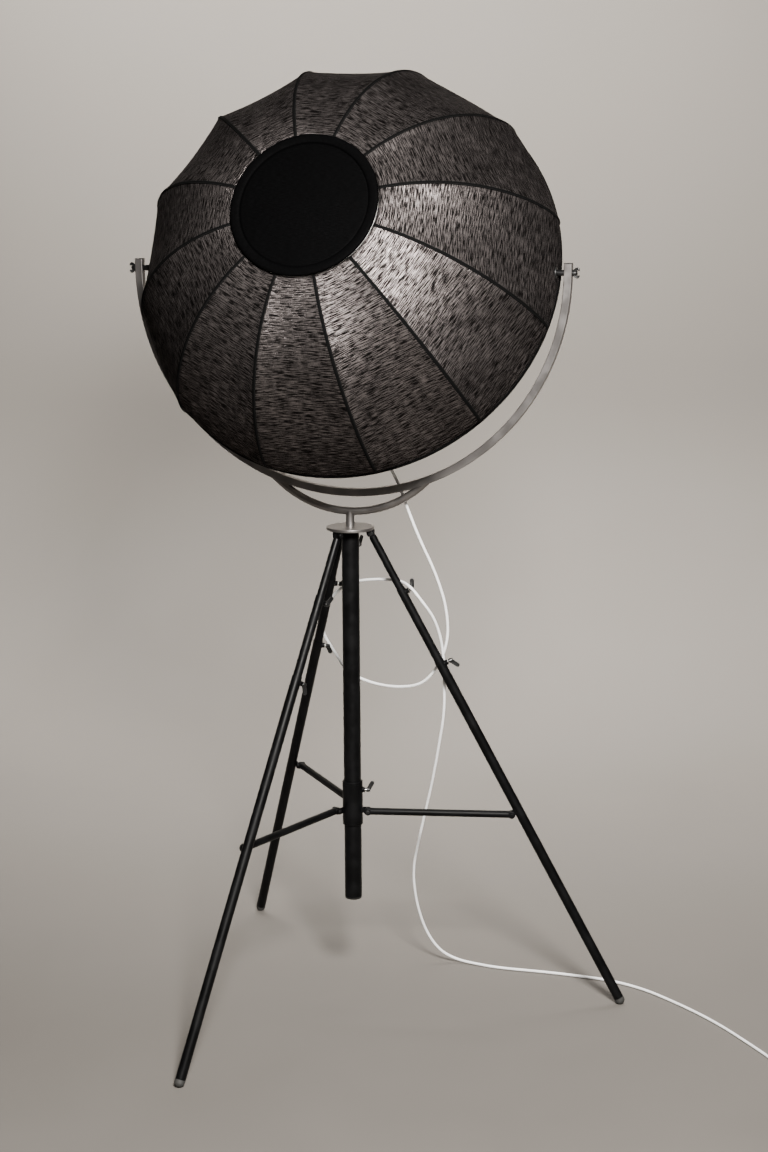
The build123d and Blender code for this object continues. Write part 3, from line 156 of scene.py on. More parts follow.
class Effects:
    """Shader node groups that several finishes share."""

    def __init__(self) -> None:
        """Build each group once."""
        self.grain = self._grain()
        self.wear = self._wear()
        self.weave = self._weave()
        self.stitch = self._stitch()

    @staticmethod
    def _group(name: str, inputs: dict[str, float], outputs: Sequence[str]) -> tuple:
        """Start a group.

        Args:
            name: the group's name.
            inputs: its number inputs and their defaults; a Vector input is always there.
            outputs: names of its number outputs.

        Returns:
            The graph, the group's input node and its output node.
        """
        tree = bpy.data.node_groups.new(name, "ShaderNodeTree")
        tree.interface.new_socket("Vector", in_out="INPUT", socket_type="NodeSocketVector")
        for label, value in inputs.items():
            socket = tree.interface.new_socket(label, in_out="INPUT", socket_type="NodeSocketFloat")
            socket.default_value = value
        for label in outputs:
            tree.interface.new_socket(label, in_out="OUTPUT", socket_type="NodeSocketFloat")
        graph = Graph(tree)
        return graph, tree.nodes.new("NodeGroupInput"), tree.nodes.new("NodeGroupOutput")

    def _grain(self) -> bpy.types.NodeTree:
        """Fine skin of paint and plastic, and slow patches of tone.

        Returns:
            The finished node group.
        """
        graph, given, made = self._group("surface_grain", {"Scale": 900.0}, ("Height", "Mottle"))
        fine = graph.noise(given.outputs["Vector"], given.outputs["Scale"], 2.0)
        slow = graph.noise(given.outputs["Vector"], graph.math("MULTIPLY", given.outputs["Scale"], 0.03), 4.0)
        graph.link(fine, made.inputs["Height"])
        graph.link(graph.span(slow, 0.35, 0.68, 0.0, 1.0), made.inputs["Mottle"])
        return graph.tree

    def _wear(self) -> bpy.types.NodeTree:
        """Sparse rubbed marks and short fine scratches.

        Returns:
            The finished node group.
        """
        graph, given, made = self._group("handling_wear", {"Amount": 0.5}, ("Mask",))
        vector = given.outputs["Vector"]
        patches = graph.span(graph.noise(vector, 14.0, 5.0, 0.65), 0.56, 0.72, 0.0, 1.0)
        streaks = graph.noise(graph.stretched(vector, SCRATCHES), 1.0, 2.0, 0.7)
        lines = graph.span(streaks, 0.6, 0.72, 0.0, 1.0)
        both = graph.math("MULTIPLY", patches, lines)
        mask = graph.math("MULTIPLY", both, given.outputs["Amount"])
        graph.link(mask, made.inputs["Mask"])
        return graph.tree

    def _weave(self) -> bpy.types.NodeTree:
        """Slubbed weave: long thick-and-thin threads across the cloth over a fine even warp.

        Returns:
            The finished node group.
        """
        graph, given, made = self._group("slub_weave", {"Slub": 1.0, "Size": 1.0}, ("Height", "Tone"))
        shrunk = graph.add(
            "VectorMath",
            {0: given.outputs["Vector"], "Scale": graph.math("DIVIDE", 1.0, given.outputs["Size"])},
            operation="SCALE",
        ).outputs[0]
        slubs = graph.noise(graph.stretched(shrunk, SLUB_THREADS), 1.0, 2.0, 0.55)
        threads = graph.noise(graph.stretched(shrunk, FINE_THREADS), 1.0, 1.0, 0.5)
        warp = graph.noise(graph.stretched(shrunk, WARP_THREADS), 1.0, 1.0, 0.5)
        thick = graph.span(slubs, 0.38, 0.62, 0.0, 1.0)
        thin = graph.span(threads, 0.3, 0.7, 0.0, 1.0)
        cross = graph.span(warp, 0.3, 0.7, 0.0, 1.0)
        tone = graph.math("MULTIPLY_ADD", thick, 0.55, graph.math("MULTIPLY", thin, 0.3))
        tone = graph.math("MULTIPLY_ADD", cross, 0.15, tone)
        height = graph.math("MULTIPLY", tone, given.outputs["Slub"])
        graph.link(height, made.inputs["Height"])
        graph.link(tone, made.inputs["Tone"])
        return graph.tree

    def _stitch(self) -> bpy.types.NodeTree:
        """Two rows of stitches, one each side of a seam's middle, along the second coordinate.

        Returns:
            The finished node group.
        """
        sizes = {"Offset": 0.0024, "Pitch": 0.0032}
        graph, given, made = self._group("seam_stitches", sizes, ("Mask", "Height"))
        parts = graph.add("SeparateXYZ", {0: given.outputs["Vector"]})
        aside = graph.math("ABSOLUTE", parts.outputs[0])
        row = graph.math("ABSOLUTE", graph.math("SUBTRACT", aside, given.outputs["Offset"]))
        on_row = graph.span(row, 0.00025, 0.0006, 1.0, 0.0)
        along = graph.math("FRACT", graph.math("DIVIDE", parts.outputs[1], given.outputs["Pitch"]))
        centred = graph.math("ABSOLUTE", graph.math("SUBTRACT", along, 0.5))
        dash = graph.span(centred, 0.3, 0.42, 1.0, 0.0)
        mask = graph.math("MULTIPLY", on_row, dash)
        graph.link(mask, made.inputs["Mask"])
        graph.link(graph.math("SUBTRACT", mask, on_row), made.inputs["Height"])
        return graph.tree


# ---- finishes -----------------------------------------------------------------------------------------
@dataclass(frozen=True)
class Finish:
    """A surface finish: colour, roughness and how its fine relief is read."""

    name: str
    colour: Colour
    second: Colour
    rough: Pair = (0.45, 0.6)
    metallic: float = 0.0
    specular: float = 0.5
    surface: Surface = Surface.SOLID

    def start(self) -> tuple[bpy.types.Material, Graph, bpy.types.Node, bpy.types.NodeSocket]:
        """Make an empty material.

        Returns:
            The material, its graph, its shader and the coordinates that its pattern reads.
        """
        material = bpy.data.materials.new(self.name)
        material.use_nodes = True
        graph = Graph(material.node_tree)
        shader = material.node_tree.nodes["Principled BSDF"]
        shader.inputs["Metallic"].default_value = self.metallic
        shader.inputs["Specular IOR Level"].default_value = self.specular
        material.diffuse_color = (*self.colour, 1.0)
        coordinates = graph.add("TexCoord").outputs[self.surface.value]
        return material, graph, shader, coordinates

    @staticmethod
    def relief(graph: Graph, shader: bpy.types.Node, layers: Sequence[tuple]) -> None:
        """Stack bumps on the shader's normal.

        Args:
            graph: the material's graph.
            shader: the material's shader.
            layers: (height socket, strength, distance) of each bump, the coarsest first.
        """
        normal = None
        for height, strength, distance in layers:
            inputs = {"Height": height, "Strength": strength, "Distance": distance}
            if normal is not None:
                inputs["Normal"] = normal
            normal = graph.add("Bump", inputs).outputs[0]
        graph.link(normal, shader.inputs["Normal"])

    def colours(self) -> tuple[tuple, tuple]:
        """Both colours with their alpha."""
        return (*self.colour, 1.0), (*self.second, 1.0)


@dataclass(frozen=True)
class SolidFinish(Finish):
    """Paint, plastic or metal with a fine skin and light handling wear."""

    grain: float = 900.0
    depth: float = 0.00008
    wear: float = 0.5
    worn: Colour = (0.09, 0.088, 0.085)
    rubbed: float = 0.12
    coat: float = 0.0

    def build(self, effects: Effects) -> bpy.types.Material:
        """Build the material from the shared groups.

        Args:
            effects: the shared node groups.

        Returns:
            The material.
        """
        material, graph, shader, coordinates = self.start()
        grain = graph.group(effects.grain, {"Vector": coordinates, "Scale": self.grain})
        wear = graph.group(effects.wear, {"Vector": coordinates, "Amount": self.wear})
        first, second = self.colours()
        base = graph.blend(grain.outputs["Mottle"], first, second)
        base = graph.blend(wear.outputs["Mask"], base, (*self.worn, 1.0))
        rough = graph.span(grain.outputs["Mottle"], 0.0, 1.0, *self.rough)
        rough = graph.math("SUBTRACT", rough, graph.math("MULTIPLY", wear.outputs["Mask"], self.rubbed))
        graph.link(base, shader.inputs["Base Color"])
        graph.link(rough, shader.inputs["Roughness"])
        shader.inputs["Coat Weight"].default_value = self.coat
        self.relief(graph, shader, [(grain.outputs["Height"], 0.35, self.depth)])
        return material


@dataclass(frozen=True)
class ClothFinish(Finish):
    """Slubbed satin cloth: dull ground threads and brighter floats that catch the light."""

    size: float = 1.0
    depth: float = 0.0006
    strength: float = 0.5
    edge: float = 1.0
    stitched: bool = False
    thread: Colour = (0.03, 0.029, 0.028)
    surface: Surface = Surface.CLOTH

    def build(self, effects: Effects) -> bpy.types.Material:
        """Build the material from the shared groups.

        Args:
            effects: the shared node groups.

        Returns:
            The material.
        """
        material, graph, shader, coordinates = self.start()
        weave = graph.group(effects.weave, {"Vector": coordinates, "Size": self.size})
        tone = weave.outputs["Tone"]
        first, second = self.colours()
        slow = graph.span(graph.noise(coordinates, 11.0, 3.0), 0.3, 0.7, 0.75, 1.15)
        share = graph.math("MULTIPLY", graph.math("POWER", graph.span(tone, 0.2, 0.9, 0.0, 1.0), 1.6), slow)
        base = graph.blend(share, first, second)
        layers = [(weave.outputs["Height"], self.strength, self.depth)]
        if self.stitched:
            stitch = graph.group(effects.stitch, {"Vector": coordinates})
            base = graph.blend(stitch.outputs["Mask"], base, (*self.thread, 1.0))
            layers.append((stitch.outputs["Height"], 0.8, 0.0004))
        graph.link(base, shader.inputs["Base Color"])
        graph.link(graph.span(tone, 0.2, 0.85, *self.rough), shader.inputs["Roughness"])
        shader.inputs["Specular Tint"].default_value = (self.edge, self.edge, self.edge, 1.0)
        self.relief(graph, shader, layers)
        return material


@dataclass(frozen=True)
class OpalFinish(Finish):
    """Milky blown glass with faint unevenness."""

    transmission: float = 0.25
    coat: float = 0.3
    grain: float = 400.0
    depth: float = 0.00005

    def build(self, effects: Effects) -> bpy.types.Material:
        """Build the material from the shared groups.

        Args:
            effects: the shared node groups.

        Returns:
            The material.
        """
        material, graph, shader, coordinates = self.start()
        grain = graph.group(effects.grain, {"Vector": coordinates, "Scale": self.grain})
        first, second = self.colours()
        graph.link(graph.blend(grain.outputs["Mottle"], first, second), shader.inputs["Base Color"])
        rough = graph.span(grain.outputs["Mottle"], 0.0, 1.0, *self.rough)
        graph.link(rough, shader.inputs["Roughness"])
        shader.inputs["Transmission Weight"].default_value = self.transmission
        shader.inputs["Coat Weight"].default_value = self.coat
        self.relief(graph, shader, [(grain.outputs["Height"], 0.1, self.depth)])
        return material


class FinishName(Enum):
    """Finishes of the lamp and its studio."""

    POWDER = SolidFinish(
        "black_powder_coat", (0.0012, 0.0012, 0.0013), (0.0025, 0.0025, 0.0027), (0.4, 0.52),
        specular=0.1, wear=0.4, worn=(0.01, 0.0096, 0.0094),
    )
    GUNMETAL = SolidFinish(
        "gunmetal_satin", (0.2, 0.188, 0.182), (0.24, 0.226, 0.218), (0.36, 0.43), metallic=0.95,
        depth=0.00004, wear=0.12, worn=(0.44, 0.42, 0.4),
    )
    KNOB = SolidFinish(
        "moulded_black_plastic", (0.004, 0.004, 0.004), (0.007, 0.007, 0.007), (0.3, 0.42), grain=1500.0,
        depth=0.00005, wear=0.3, worn=(0.02, 0.02, 0.02),
    )
    RUBBER = SolidFinish(
        "black_rubber", (0.014, 0.014, 0.013), (0.03, 0.029, 0.027), (0.6, 0.8), grain=700.0, wear=0.8,
        worn=(0.12, 0.115, 0.11),
    )
    ZINC = SolidFinish(
        "bright_zinc", (0.6, 0.6, 0.59), (0.7, 0.69, 0.67), (0.2, 0.34), metallic=1.0, depth=0.00003,
        wear=0.5, worn=(0.4, 0.4, 0.4),
    )
    ENAMEL = SolidFinish(
        "white_enamel", (0.74, 0.73, 0.71), (0.8, 0.79, 0.77), (0.28, 0.4), grain=700.0, wear=0.3,
        worn=(0.45, 0.44, 0.43),
    )
    BLACKED = SolidFinish(
        "blacked_steel", (0.005, 0.005, 0.0054), (0.01, 0.0096, 0.0096), (0.3, 0.42), metallic=0.4,
        depth=0.00003, wear=0.5, worn=(0.06, 0.058, 0.056),
    )
    BAKELITE = SolidFinish(
        "black_bakelite", (0.012, 0.011, 0.01), (0.02, 0.018, 0.016), (0.18, 0.3), grain=500.0,
        depth=0.00003, wear=0.3, coat=0.2,
    )
    BULB_SHELL = SolidFinish(
        "rolled_bulb_shell", (0.72, 0.7, 0.66), (0.8, 0.78, 0.74), (0.25, 0.38), metallic=1.0,
        depth=0.00003, wear=0.4, worn=(0.5, 0.48, 0.45),
    )
    SHEATH = SolidFinish(
        "pale_grey_sheath", (0.74, 0.74, 0.74), (0.8, 0.8, 0.8), (0.34, 0.46), grain=1200.0,
        depth=0.00005, wear=0.5, worn=(0.38, 0.375, 0.37),
    )
    PIN = SolidFinish(
        "nickel_pins", (0.66, 0.64, 0.6), (0.74, 0.72, 0.68), (0.16, 0.28), metallic=1.0, depth=0.00002,
        wear=0.7, worn=(0.5, 0.48, 0.44),
    )
    SATIN_CLOTH = ClothFinish(
        "black_slub_satin", (0.004, 0.0035, 0.0034), (0.17, 0.15, 0.146), (0.62, 0.37), metallic=0.9,
        specular=0.1, edge=0.05, strength=0.7,
    )
    HUB_CLOTH = ClothFinish(
        "black_plain_satin", (0.0003, 0.0003, 0.00035), (0.0008, 0.0008, 0.0009), (0.8, 0.7), specular=0.02,
        size=0.5, depth=0.0002, strength=0.3,
    )
    TAPE = ClothFinish(
        "black_seam_tape", (0.0008, 0.0008, 0.0008), (0.0016, 0.0016, 0.0016), (0.85, 0.7), specular=0.05,
        size=0.35, depth=0.0002, strength=0.4, stitched=True, thread=(0.006, 0.006, 0.006),
    )
    LINING = ClothFinish(
        "pale_coated_lining", (0.68, 0.67, 0.65), (0.76, 0.75, 0.73), (0.55, 0.45), specular=0.4,
        size=0.6, depth=0.0002, strength=0.3,
    )
    OPAL = OpalFinish("opal_glass", (0.86, 0.85, 0.82), (0.9, 0.89, 0.87), (0.12, 0.2))
    STUDIO = SolidFinish(
        "studio_paper", (0.115, 0.105, 0.0935), (0.121, 0.1105, 0.0985), (0.8, 0.9), grain=60.0, depth=0.0001,
        wear=0.0,
    )


class Finishes:
    """Every material, built once from its finish."""

    def __init__(self) -> None:
        """Build the shared groups and then the materials."""
        effects = Effects()
        self.made = {name: name.value.build(effects) for name in FinishName}

    def __getitem__(self, name: FinishName) -> bpy.types.Material:
        """Material of a finish."""
        return self.made[name]


# ---- places -------------------------------------------------------------------------------------------
def shift(x: float, y: float, z: float) -> Matrix:
    """Move."""
    return Matrix.Translation((x, y, z))


def turn(angle: float, axis: str) -> Matrix:
    """Turn about an axis, in degrees."""
    return Matrix.Rotation(radians(angle), 4, axis)


def middle(node: str) -> Vector:
    """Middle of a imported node's box."""
    low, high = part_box(node)
    return (low + high) / 2


@dataclass
class Places:
    """Frames of the lamp's moving groups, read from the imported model."""

    head_tilt: float = 27.1
    leg_splay: float = 27.7
    leg_pivot_radius: float = 0.0425
    azimuths: dict[str, float] = field(
        default_factory=lambda: {"right": 10.6, "front": -109.4, "back": 130.6}
    )

    def __post_init__(self) -> None:
        """Read the column's axis, the leg pivots' height and the shade's pivot."""
        mast, bolts = middle("mast_tube"), middle("pivot_bolts")
        self.axis = Vector((bolts.x, mast.y, 0.0))
        self.pivot = Vector((bolts.x, bolts.y, bolts.z))
        self.leg_pivot_height = middle("leg_pins").z

    def column(self, height: float, azimuth: float = 0.0) -> Matrix:
        """Frame on the column's axis, X towards an azimuth."""
        return Matrix.Translation(self.axis) @ shift(0, 0, height) @ turn(azimuth, "Z")

    def head(self) -> Matrix:
        """The shade's frame: origin on the pivot axis, Z out through the hub."""
        return Matrix.Translation(self.pivot) @ turn(90 - self.head_tilt, "X")

    def leg(self, name: str) -> Matrix:
        """A leg's frame: origin at its pivot, Z up along the leg, X outwards."""
        pivot = self.column(self.leg_pivot_height, self.azimuths[name])
        return pivot @ shift(self.leg_pivot_radius, 0, 0) @ turn(-self.leg_splay, "Y")


# ---- bench --------------------------------------------------------------------------------------------
class Bench:
    """Turns shaped meshes into finished pieces of the lamp."""

    def __init__(self, finishes: Finishes) -> None:
        """Keep the finishes that pieces are given."""
        self.finishes = finishes
        self.count = 0

    def piece(
        self,
        name: str,
        shape: bmesh.types.BMesh,
        place: Matrix,
        body: str,
        finish: Union[FinishName, Sequence[FinishName]],
        slot: Slot,
        replaces: Iterable[str] = (),
        sharp: float = 40.0,
        outward: bool = True,
    ) -> bpy.types.Object:
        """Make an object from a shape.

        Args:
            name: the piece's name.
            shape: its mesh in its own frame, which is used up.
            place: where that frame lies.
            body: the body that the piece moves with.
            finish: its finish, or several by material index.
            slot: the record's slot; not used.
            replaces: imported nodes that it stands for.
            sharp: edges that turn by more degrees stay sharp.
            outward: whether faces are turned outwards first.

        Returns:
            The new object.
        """
        bmesh.ops.remove_doubles(shape, verts=shape.verts, dist=MERGE)
        put(shape, place)
        if outward:
            bmesh.ops.recalc_face_normals(shape, faces=shape.faces)
        mesh = bpy.data.meshes.new(name)
        shape.to_mesh(mesh)
        shape.free()
        for name_of_finish in [finish] if isinstance(finish, FinishName) else finish:
            mesh.materials.append(self.finishes[name_of_finish])
        mesh.shade_smooth()
        mesh.set_sharp_from_angle(angle=radians(sharp))
        made = bpy.data.objects.new(name, mesh)
        return self.mounted(made, body, slot, replaces)

    def mounted(
        self, made: bpy.types.Object, body: str, slot: Slot, replaces: Iterable[str] = ()
    ) -> bpy.types.Object:
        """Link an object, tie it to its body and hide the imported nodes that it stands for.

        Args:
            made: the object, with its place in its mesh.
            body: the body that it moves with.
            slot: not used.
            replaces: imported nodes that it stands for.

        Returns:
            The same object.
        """
        bpy.context.scene.collection.objects.link(made)
        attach(made, body)
        replaced = list(replaces)
        if replaced:
            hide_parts(*replaced)
        self.count += 1
        LOG.info("%s rides on %s", made.name, body)
        return made


def give_wall(made: bpy.types.Object, name: str, thickness: float) -> bpy.types.Modifier:
    """Give a sheet its thickness, inwards from its outer face.

    Args:
        made: the sheet.
        name: the modifier's name.
        thickness: how thick the wall gets.

    Returns:
        The modifier.
    """
    wall = made.modifiers.new(name, "SOLIDIFY")
    wall.thickness = thickness
    wall.offset = -1.0
    return wall


def put(shape: bmesh.types.BMesh, place: Matrix) -> None:
    """Move a whole shape to a place."""
    bmesh.ops.transform(shape, matrix=place, verts=shape.verts)


def block(length: float, width: float, height: float) -> bmesh.types.BMesh:
    """Box about the origin.

    Args:
        length: size along X.
        width: size along Y.
        height: size along Z.

    Returns:
        The box.
    """
    shape = bmesh.new()
    bmesh.ops.create_cube(shape, size=1.0)
    bmesh.ops.scale(shape, vec=(length, width, height), verts=shape.verts)
    return shape


def round_off(
    shape: bmesh.types.BMesh, edges: Sequence[bmesh.types.BMEdge], offset: float, segments: int
) -> None:
    """Round edges off.

    Args:
        shape: the shape that the edges are on.
        edges: the edges.
        offset: how far back the rounding starts.
        segments: faces across each rounding.
    """
    bmesh.ops.bevel(
        shape, geom=edges, offset=offset, segments=segments, profile=0.5, affect="EDGES", material=-1,
    )


def lathe(profile: Sequence[Pair], steps: int = 48, closed: bool = False) -> bmesh.types.BMesh:
    """Turn a profile about Z.

    Args:
        profile: radius and height of its points.
        steps: how many faces go round.
        closed: whether its last point joins its first.

    Returns:
        The turned shape.
    """
    shape = bmesh.new()
    verts = [shape.verts.new((radius, 0, height)) for radius, height in profile]
    pairs = list(zip(verts, verts[1:])) + ([(verts[-1], verts[0])] if closed else [])
    edges = [shape.edges.new(pair) for pair in pairs]
    bmesh.ops.spin(
        shape, geom=verts + edges, cent=(0, 0, 0), axis=(0, 0, 1), dvec=(0, 0, 0), angle=2 * pi,
        steps=steps, use_merge=True, use_duplicate=False,
    )
    bmesh.ops.remove_doubles(shape, verts=shape.verts, dist=MERGE)
    return shape


def add_lathe(shape: bmesh.types.BMesh, place: Matrix, profile: Sequence[Pair], steps: int = 32) -> None:
    """Turn a profile about Z and add it to a shape at a place.

    Args:
        shape: the shape that is added to.
        place: where the turned shape goes.
        profile: radius and height of its points.
        steps: how many faces go round.
    """
    turned = lathe(profile, steps)
    put(turned, place)
    merge_into(shape, turned)


def merge_into(shape: bmesh.types.BMesh, other: bmesh.types.BMesh) -> None:
    """Add another shape to this one and use it up.

    Args:
        shape: the shape that is added to.
        other: the shape that is used up.
    """
    mesh = bpy.data.meshes.new("passing")
    other.to_mesh(mesh)
    other.free()
    shape.from_mesh(mesh)
    bpy.data.meshes.remove(mesh)


def lobe_profile(
    centre: Pair, half_width: float, half_height: float, points: int, power: float = 2.0
) -> list[Pair]:
    """Closed rounded section about a centre, fuller than an ellipse where the power is over 2.

    Args:
        centre: the section's centre.
        half_width: half its width.
        half_height: half its height.
        points: how many points go round.
        power: how full it is.

    Returns:
        The section's points.
    """
    made = []
    for index in range(points):
        angle = 2 * pi * index / points
        c, s = cos(angle), sin(angle)
        across = half_width * (abs(c) ** (2 / power)) * (1 if c >= 0 else -1)
        up = half_height * (abs(s) ** (2 / power)) * (1 if s >= 0 else -1)
        made.append((centre[0] + across, centre[1] + up))
    return made


def swell(shape: bmesh.types.BMesh, centre: Pair, gain: Callable[[float, float], float]) -> None:
    """Swell a ring's section about its centre by a share that depends on angle and height.

    Args:
        shape: the ring, about Z.
        centre: radius and height of its section's centre.
        gain: the share, from the angle round Z and the height.
    """
    for vert in shape.verts:
        angle = atan2(vert.co.y, vert.co.x)
        base = Vector((cos(angle) * centre[0], sin(angle) * centre[0], centre[1]))
        vert.co = base + (vert.co - base) * (1 + gain(angle, vert.co.z))


def unwrap(shape: bmesh.types.BMesh, flat: dict[bmesh.types.BMVert, Pair]) -> None:
    """Write each vertex's place on the flat cloth into a shape's UV map.

    Args:
        shape: the shape.
        flat: each vertex's place on the flat cloth.
    """
    layer = shape.loops.layers.uv.verify()
    for face in shape.faces:
        for loop in face.loops:
            loop[layer].uv = flat[loop.vert]


def ring_uv(shape: bmesh.types.BMesh, centre: Pair, section: float = 0.008) -> None:
    """Unwrap a ring as lengths: round its section, of a given radius, and then along it.

    Args:
        shape: the ring, about Z.
        centre: radius and height of its section's centre.
        section: radius that turns angles round the section into lengths.
    """
    layer = shape.loops.layers.uv.verify()
    for face in shape.faces:
        mid = face.calc_center_median()
        base = atan2(mid.y, mid.x)
        base_tilt = atan2(mid.z - centre[1], hypot(mid.x, mid.y) - centre[0])
        for loop in face.loops:
            at = loop.vert.co
            angle = atan2(at.y, at.x)
            angle = base + (angle - base + pi) % (2 * pi) - pi
            tilt = atan2(at.z - centre[1], hypot(at.x, at.y) - centre[0])
            tilt = base_tilt + (tilt - base_tilt + pi) % (2 * pi) - pi
            loop[layer].uv = (tilt * section, angle * centre[0])


# ---- cord ---------------------------------------------------------------------------------------------
@dataclass
class MainsCord:
    """Mains cord from the lampholder down to the floor, its put-away coil and its plug."""

    places: Places
    bench: Bench
    diameter: float = 0.006
    length: float = 4.74
    mouth: Sequence[Sequence[float]] = ((0, -0.1264, 1.5802), (0, -0.1624, 1.5098))
    route: Sequence[Sequence[float]] = (
        (0.011, -0.141, 1.424), (0.030, -0.112, 1.348), (0.053, -0.075, 1.276), (0.077, -0.039, 1.204),
        (0.099, 0.008, 1.140), (0.110, 0.027, 1.092), (0.139, 0.033, 1.013), (0.173, 0.044, 0.937),
        (0.196, 0.052, 0.857), (0.195, 0.058, 0.778), (0.157, 0.065, 0.707), (0.115, 0.072, 0.680),
        (0.033, 0.088, 0.674), (-0.046, 0.110, 0.693), (-0.094, 0.168, 0.727), (-0.119, 0.168, 0.762),
        (-0.110, 0.144, 0.808), (-0.087, 0.120, 0.852), (-0.041, 0.099, 0.894), (0.028, 0.062, 0.914),
        (0.093, 0.045, 0.918), (0.127, 0.009, 0.914), (0.155, 0.004, 0.883), (0.176, 0.022, 0.845),
        (0.186, 0.039, 0.797), (0.188, 0.051, 0.750), (0.188, 0.056, 0.700), (0.186, 0.063, 0.632),
        (0.168, 0.084, 0.552), (0.150, 0.104, 0.474), (0.127, 0.129, 0.395), (0.105, 0.150, 0.317),
        (0.084, 0.172, 0.239), (0.084, 0.194, 0.158), (0.100, 0.216, 0.079), (0.129, 0.230, 0.029),
        (0.166, 0.239, 0.008), (0.207, 0.235, 0.004), (0.270, 0.224, 0.004), (0.354, 0.228, 0.004),
        (0.438, 0.227, 0.004), (0.521, 0.221, 0.004), (0.600, 0.192, 0.004), (0.669, 0.144, 0.004),
        (0.735, 0.092, 0.004), (0.797, 0.034, 0.004), (0.852, -0.028, 0.004), (0.906, -0.090, 0.004),
    )
    coil_joint: Sequence[float] = (0.956, -0.160, 0.004)
    coil_radii: Sequence[float] = (0.039, 0.033, 0.027)
    coil_turns: float = 5.5
    points_per_turn: int = 16
    plug_lead: float = 0.020
    plug_length: float = 0.034
    plug_width: float = 0.034
    plug_thickness: float = 0.014
    ridges: int = 5
    ridge_pitch: float = 0.0032
    ridge_growth: float = 0.0016
    relief_length: float = 0.024
    groove: float = 0.0008
    holder_setback: float = 0.020
    holder_radius: float = 0.021
    holder_top: float = 0.139

    def coil_place(self) -> Matrix:
        """The coil's frame on the floor, X the way the cord comes in.

        Returns:
            The frame.
        """
        centre, last = middle("cord_coil"), self.route[-1]
        heading = atan2(self.coil_joint[1] - last[1], self.coil_joint[0] - last[0])
        return shift(centre.x, centre.y, 0) @ turn(degrees(heading), "Z")

    def coil_line(self) -> list[Vector]:
        """Points of the coil's turns in its own frame: inwards on the floor, and back out on top.

        Returns:
            The points, from the coil's joint with the route to the plug.
        """
        outer, mid, inner = self.coil_radii
        layer, step = self.diameter, 1 / 6
        moves = [
            (1.0, outer, mid), (2.0, mid, inner), (4 - 2 * step, inner, mid), (5 - 2 * step, mid, outer),
        ]
        points = []
        for index in range(int(self.coil_turns * self.points_per_turn) + 1):
            at = index / self.points_per_turn
            radius = outer
            for start, before, after in moves:
                if at >= start:
                    share = min(1.0, (at - start) / step)
                    radius = before + (after - before) * share
            height = layer / 2 + layer * min(1.0, max(0.0, (at - (3 - step)) / step))
            angle = 2 * pi * at - pi / 2
            points.append(Vector((radius * cos(angle), radius * sin(angle), height)))
        tail = [(-0.008, outer, 0.009), (-0.020, outer, 0.0072), (-0.024, outer, 0.007)]
        return points + [Vector(point) for point in tail]

    def line(self) -> list[Vector]:
        """Control points of the whole cord.

        Returns:
            The points, from the cord's way into the head to its plug.
        """
        laid = [Vector(point) + self.places.axis for point in (*self.mouth, *self.route)]
        place = self.coil_place()
        return laid + [place @ point for point in self.coil_line()]

    def build_cord(self) -> bpy.types.Object:
        """Returns:
            The cord.
        """
        curve = bpy.data.curves.new("mains_cord", "CURVE")
        curve.dimensions = "3D"
        curve.resolution_u = 8
        curve.bevel_depth = self.diameter / 2
        curve.bevel_resolution = 4
        curve.use_fill_caps = True
        points = self.line()
        spline = curve.splines.new("NURBS")
        spline.points.add(len(points) - 1)
        for point, at in zip(spline.points, points):
            point.co = (*at, 1.0)
        spline.order_u = 3
        spline.use_endpoint_u = True
        curve.materials.append(self.bench.finishes[FinishName.SHEATH])
        cord = bpy.data.objects.new("mains_cord", curve)
        self.bench.mounted(cord, "stand", Slot.FLEX, ("cord_tube", "cord_coil"))
        tuple(points[0])
        return cord

    def build_plug(self) -> bpy.types.Object:
        """Flat two-pin plug with finger ridges and a ribbed relief.

        Returns:
            The plug.
        """
        centre = self.relief_length + self.plug_length / 2
        shape = block(self.plug_length, self.plug_width, self.plug_thickness)
        put(shape, shift(centre, 0, 0))
        rear = [vert for vert in shape.verts if vert.co.x < centre]
        bmesh.ops.scale(shape, vec=(1, 0.47, 0.92), verts=rear)
        long_edges = [edge for edge in shape.edges if abs(edge.verts[0].co.x - edge.verts[1].co.x) > 0.01]
        bmesh.ops.subdivide_edges(shape, edges=long_edges, cuts=4)
        for vert in shape.verts:
            along = (vert.co.x - self.relief_length) / self.plug_length
            vert.co.y *= 1 + 0.22 * sin(pi * min(1.0, max(0.0, along)))
        round_off(shape, shape.edges[:], 0.0022, 3)
        for side in (-1, 1):
            for index in range(self.ridges):
                ridge = block(0.0014, 0.013 + self.ridge_growth * index, 0.0012)
                round_off(ridge, ridge.edges[:], 0.0004, 2)
                along = self.relief_length + 0.008 + self.ridge_pitch * index
                put(ridge, shift(along, 0, side * (self.plug_thickness / 2 - 0.0009)))
                merge_into(shape, ridge)
        add_lathe(shape, turn(90, "Y"), self.relief_profile(0.0042, 0.0062))
        place = self.coil_place() @ shift(-self.plug_lead, self.coil_radii[0], 0.007) @ turn(180, "Z")
        return self.bench.piece(
            "mains_plug", shape, place, "stand", FinishName.SHEATH, Slot.FLEX, ("plug_body",), sharp=50,
        )

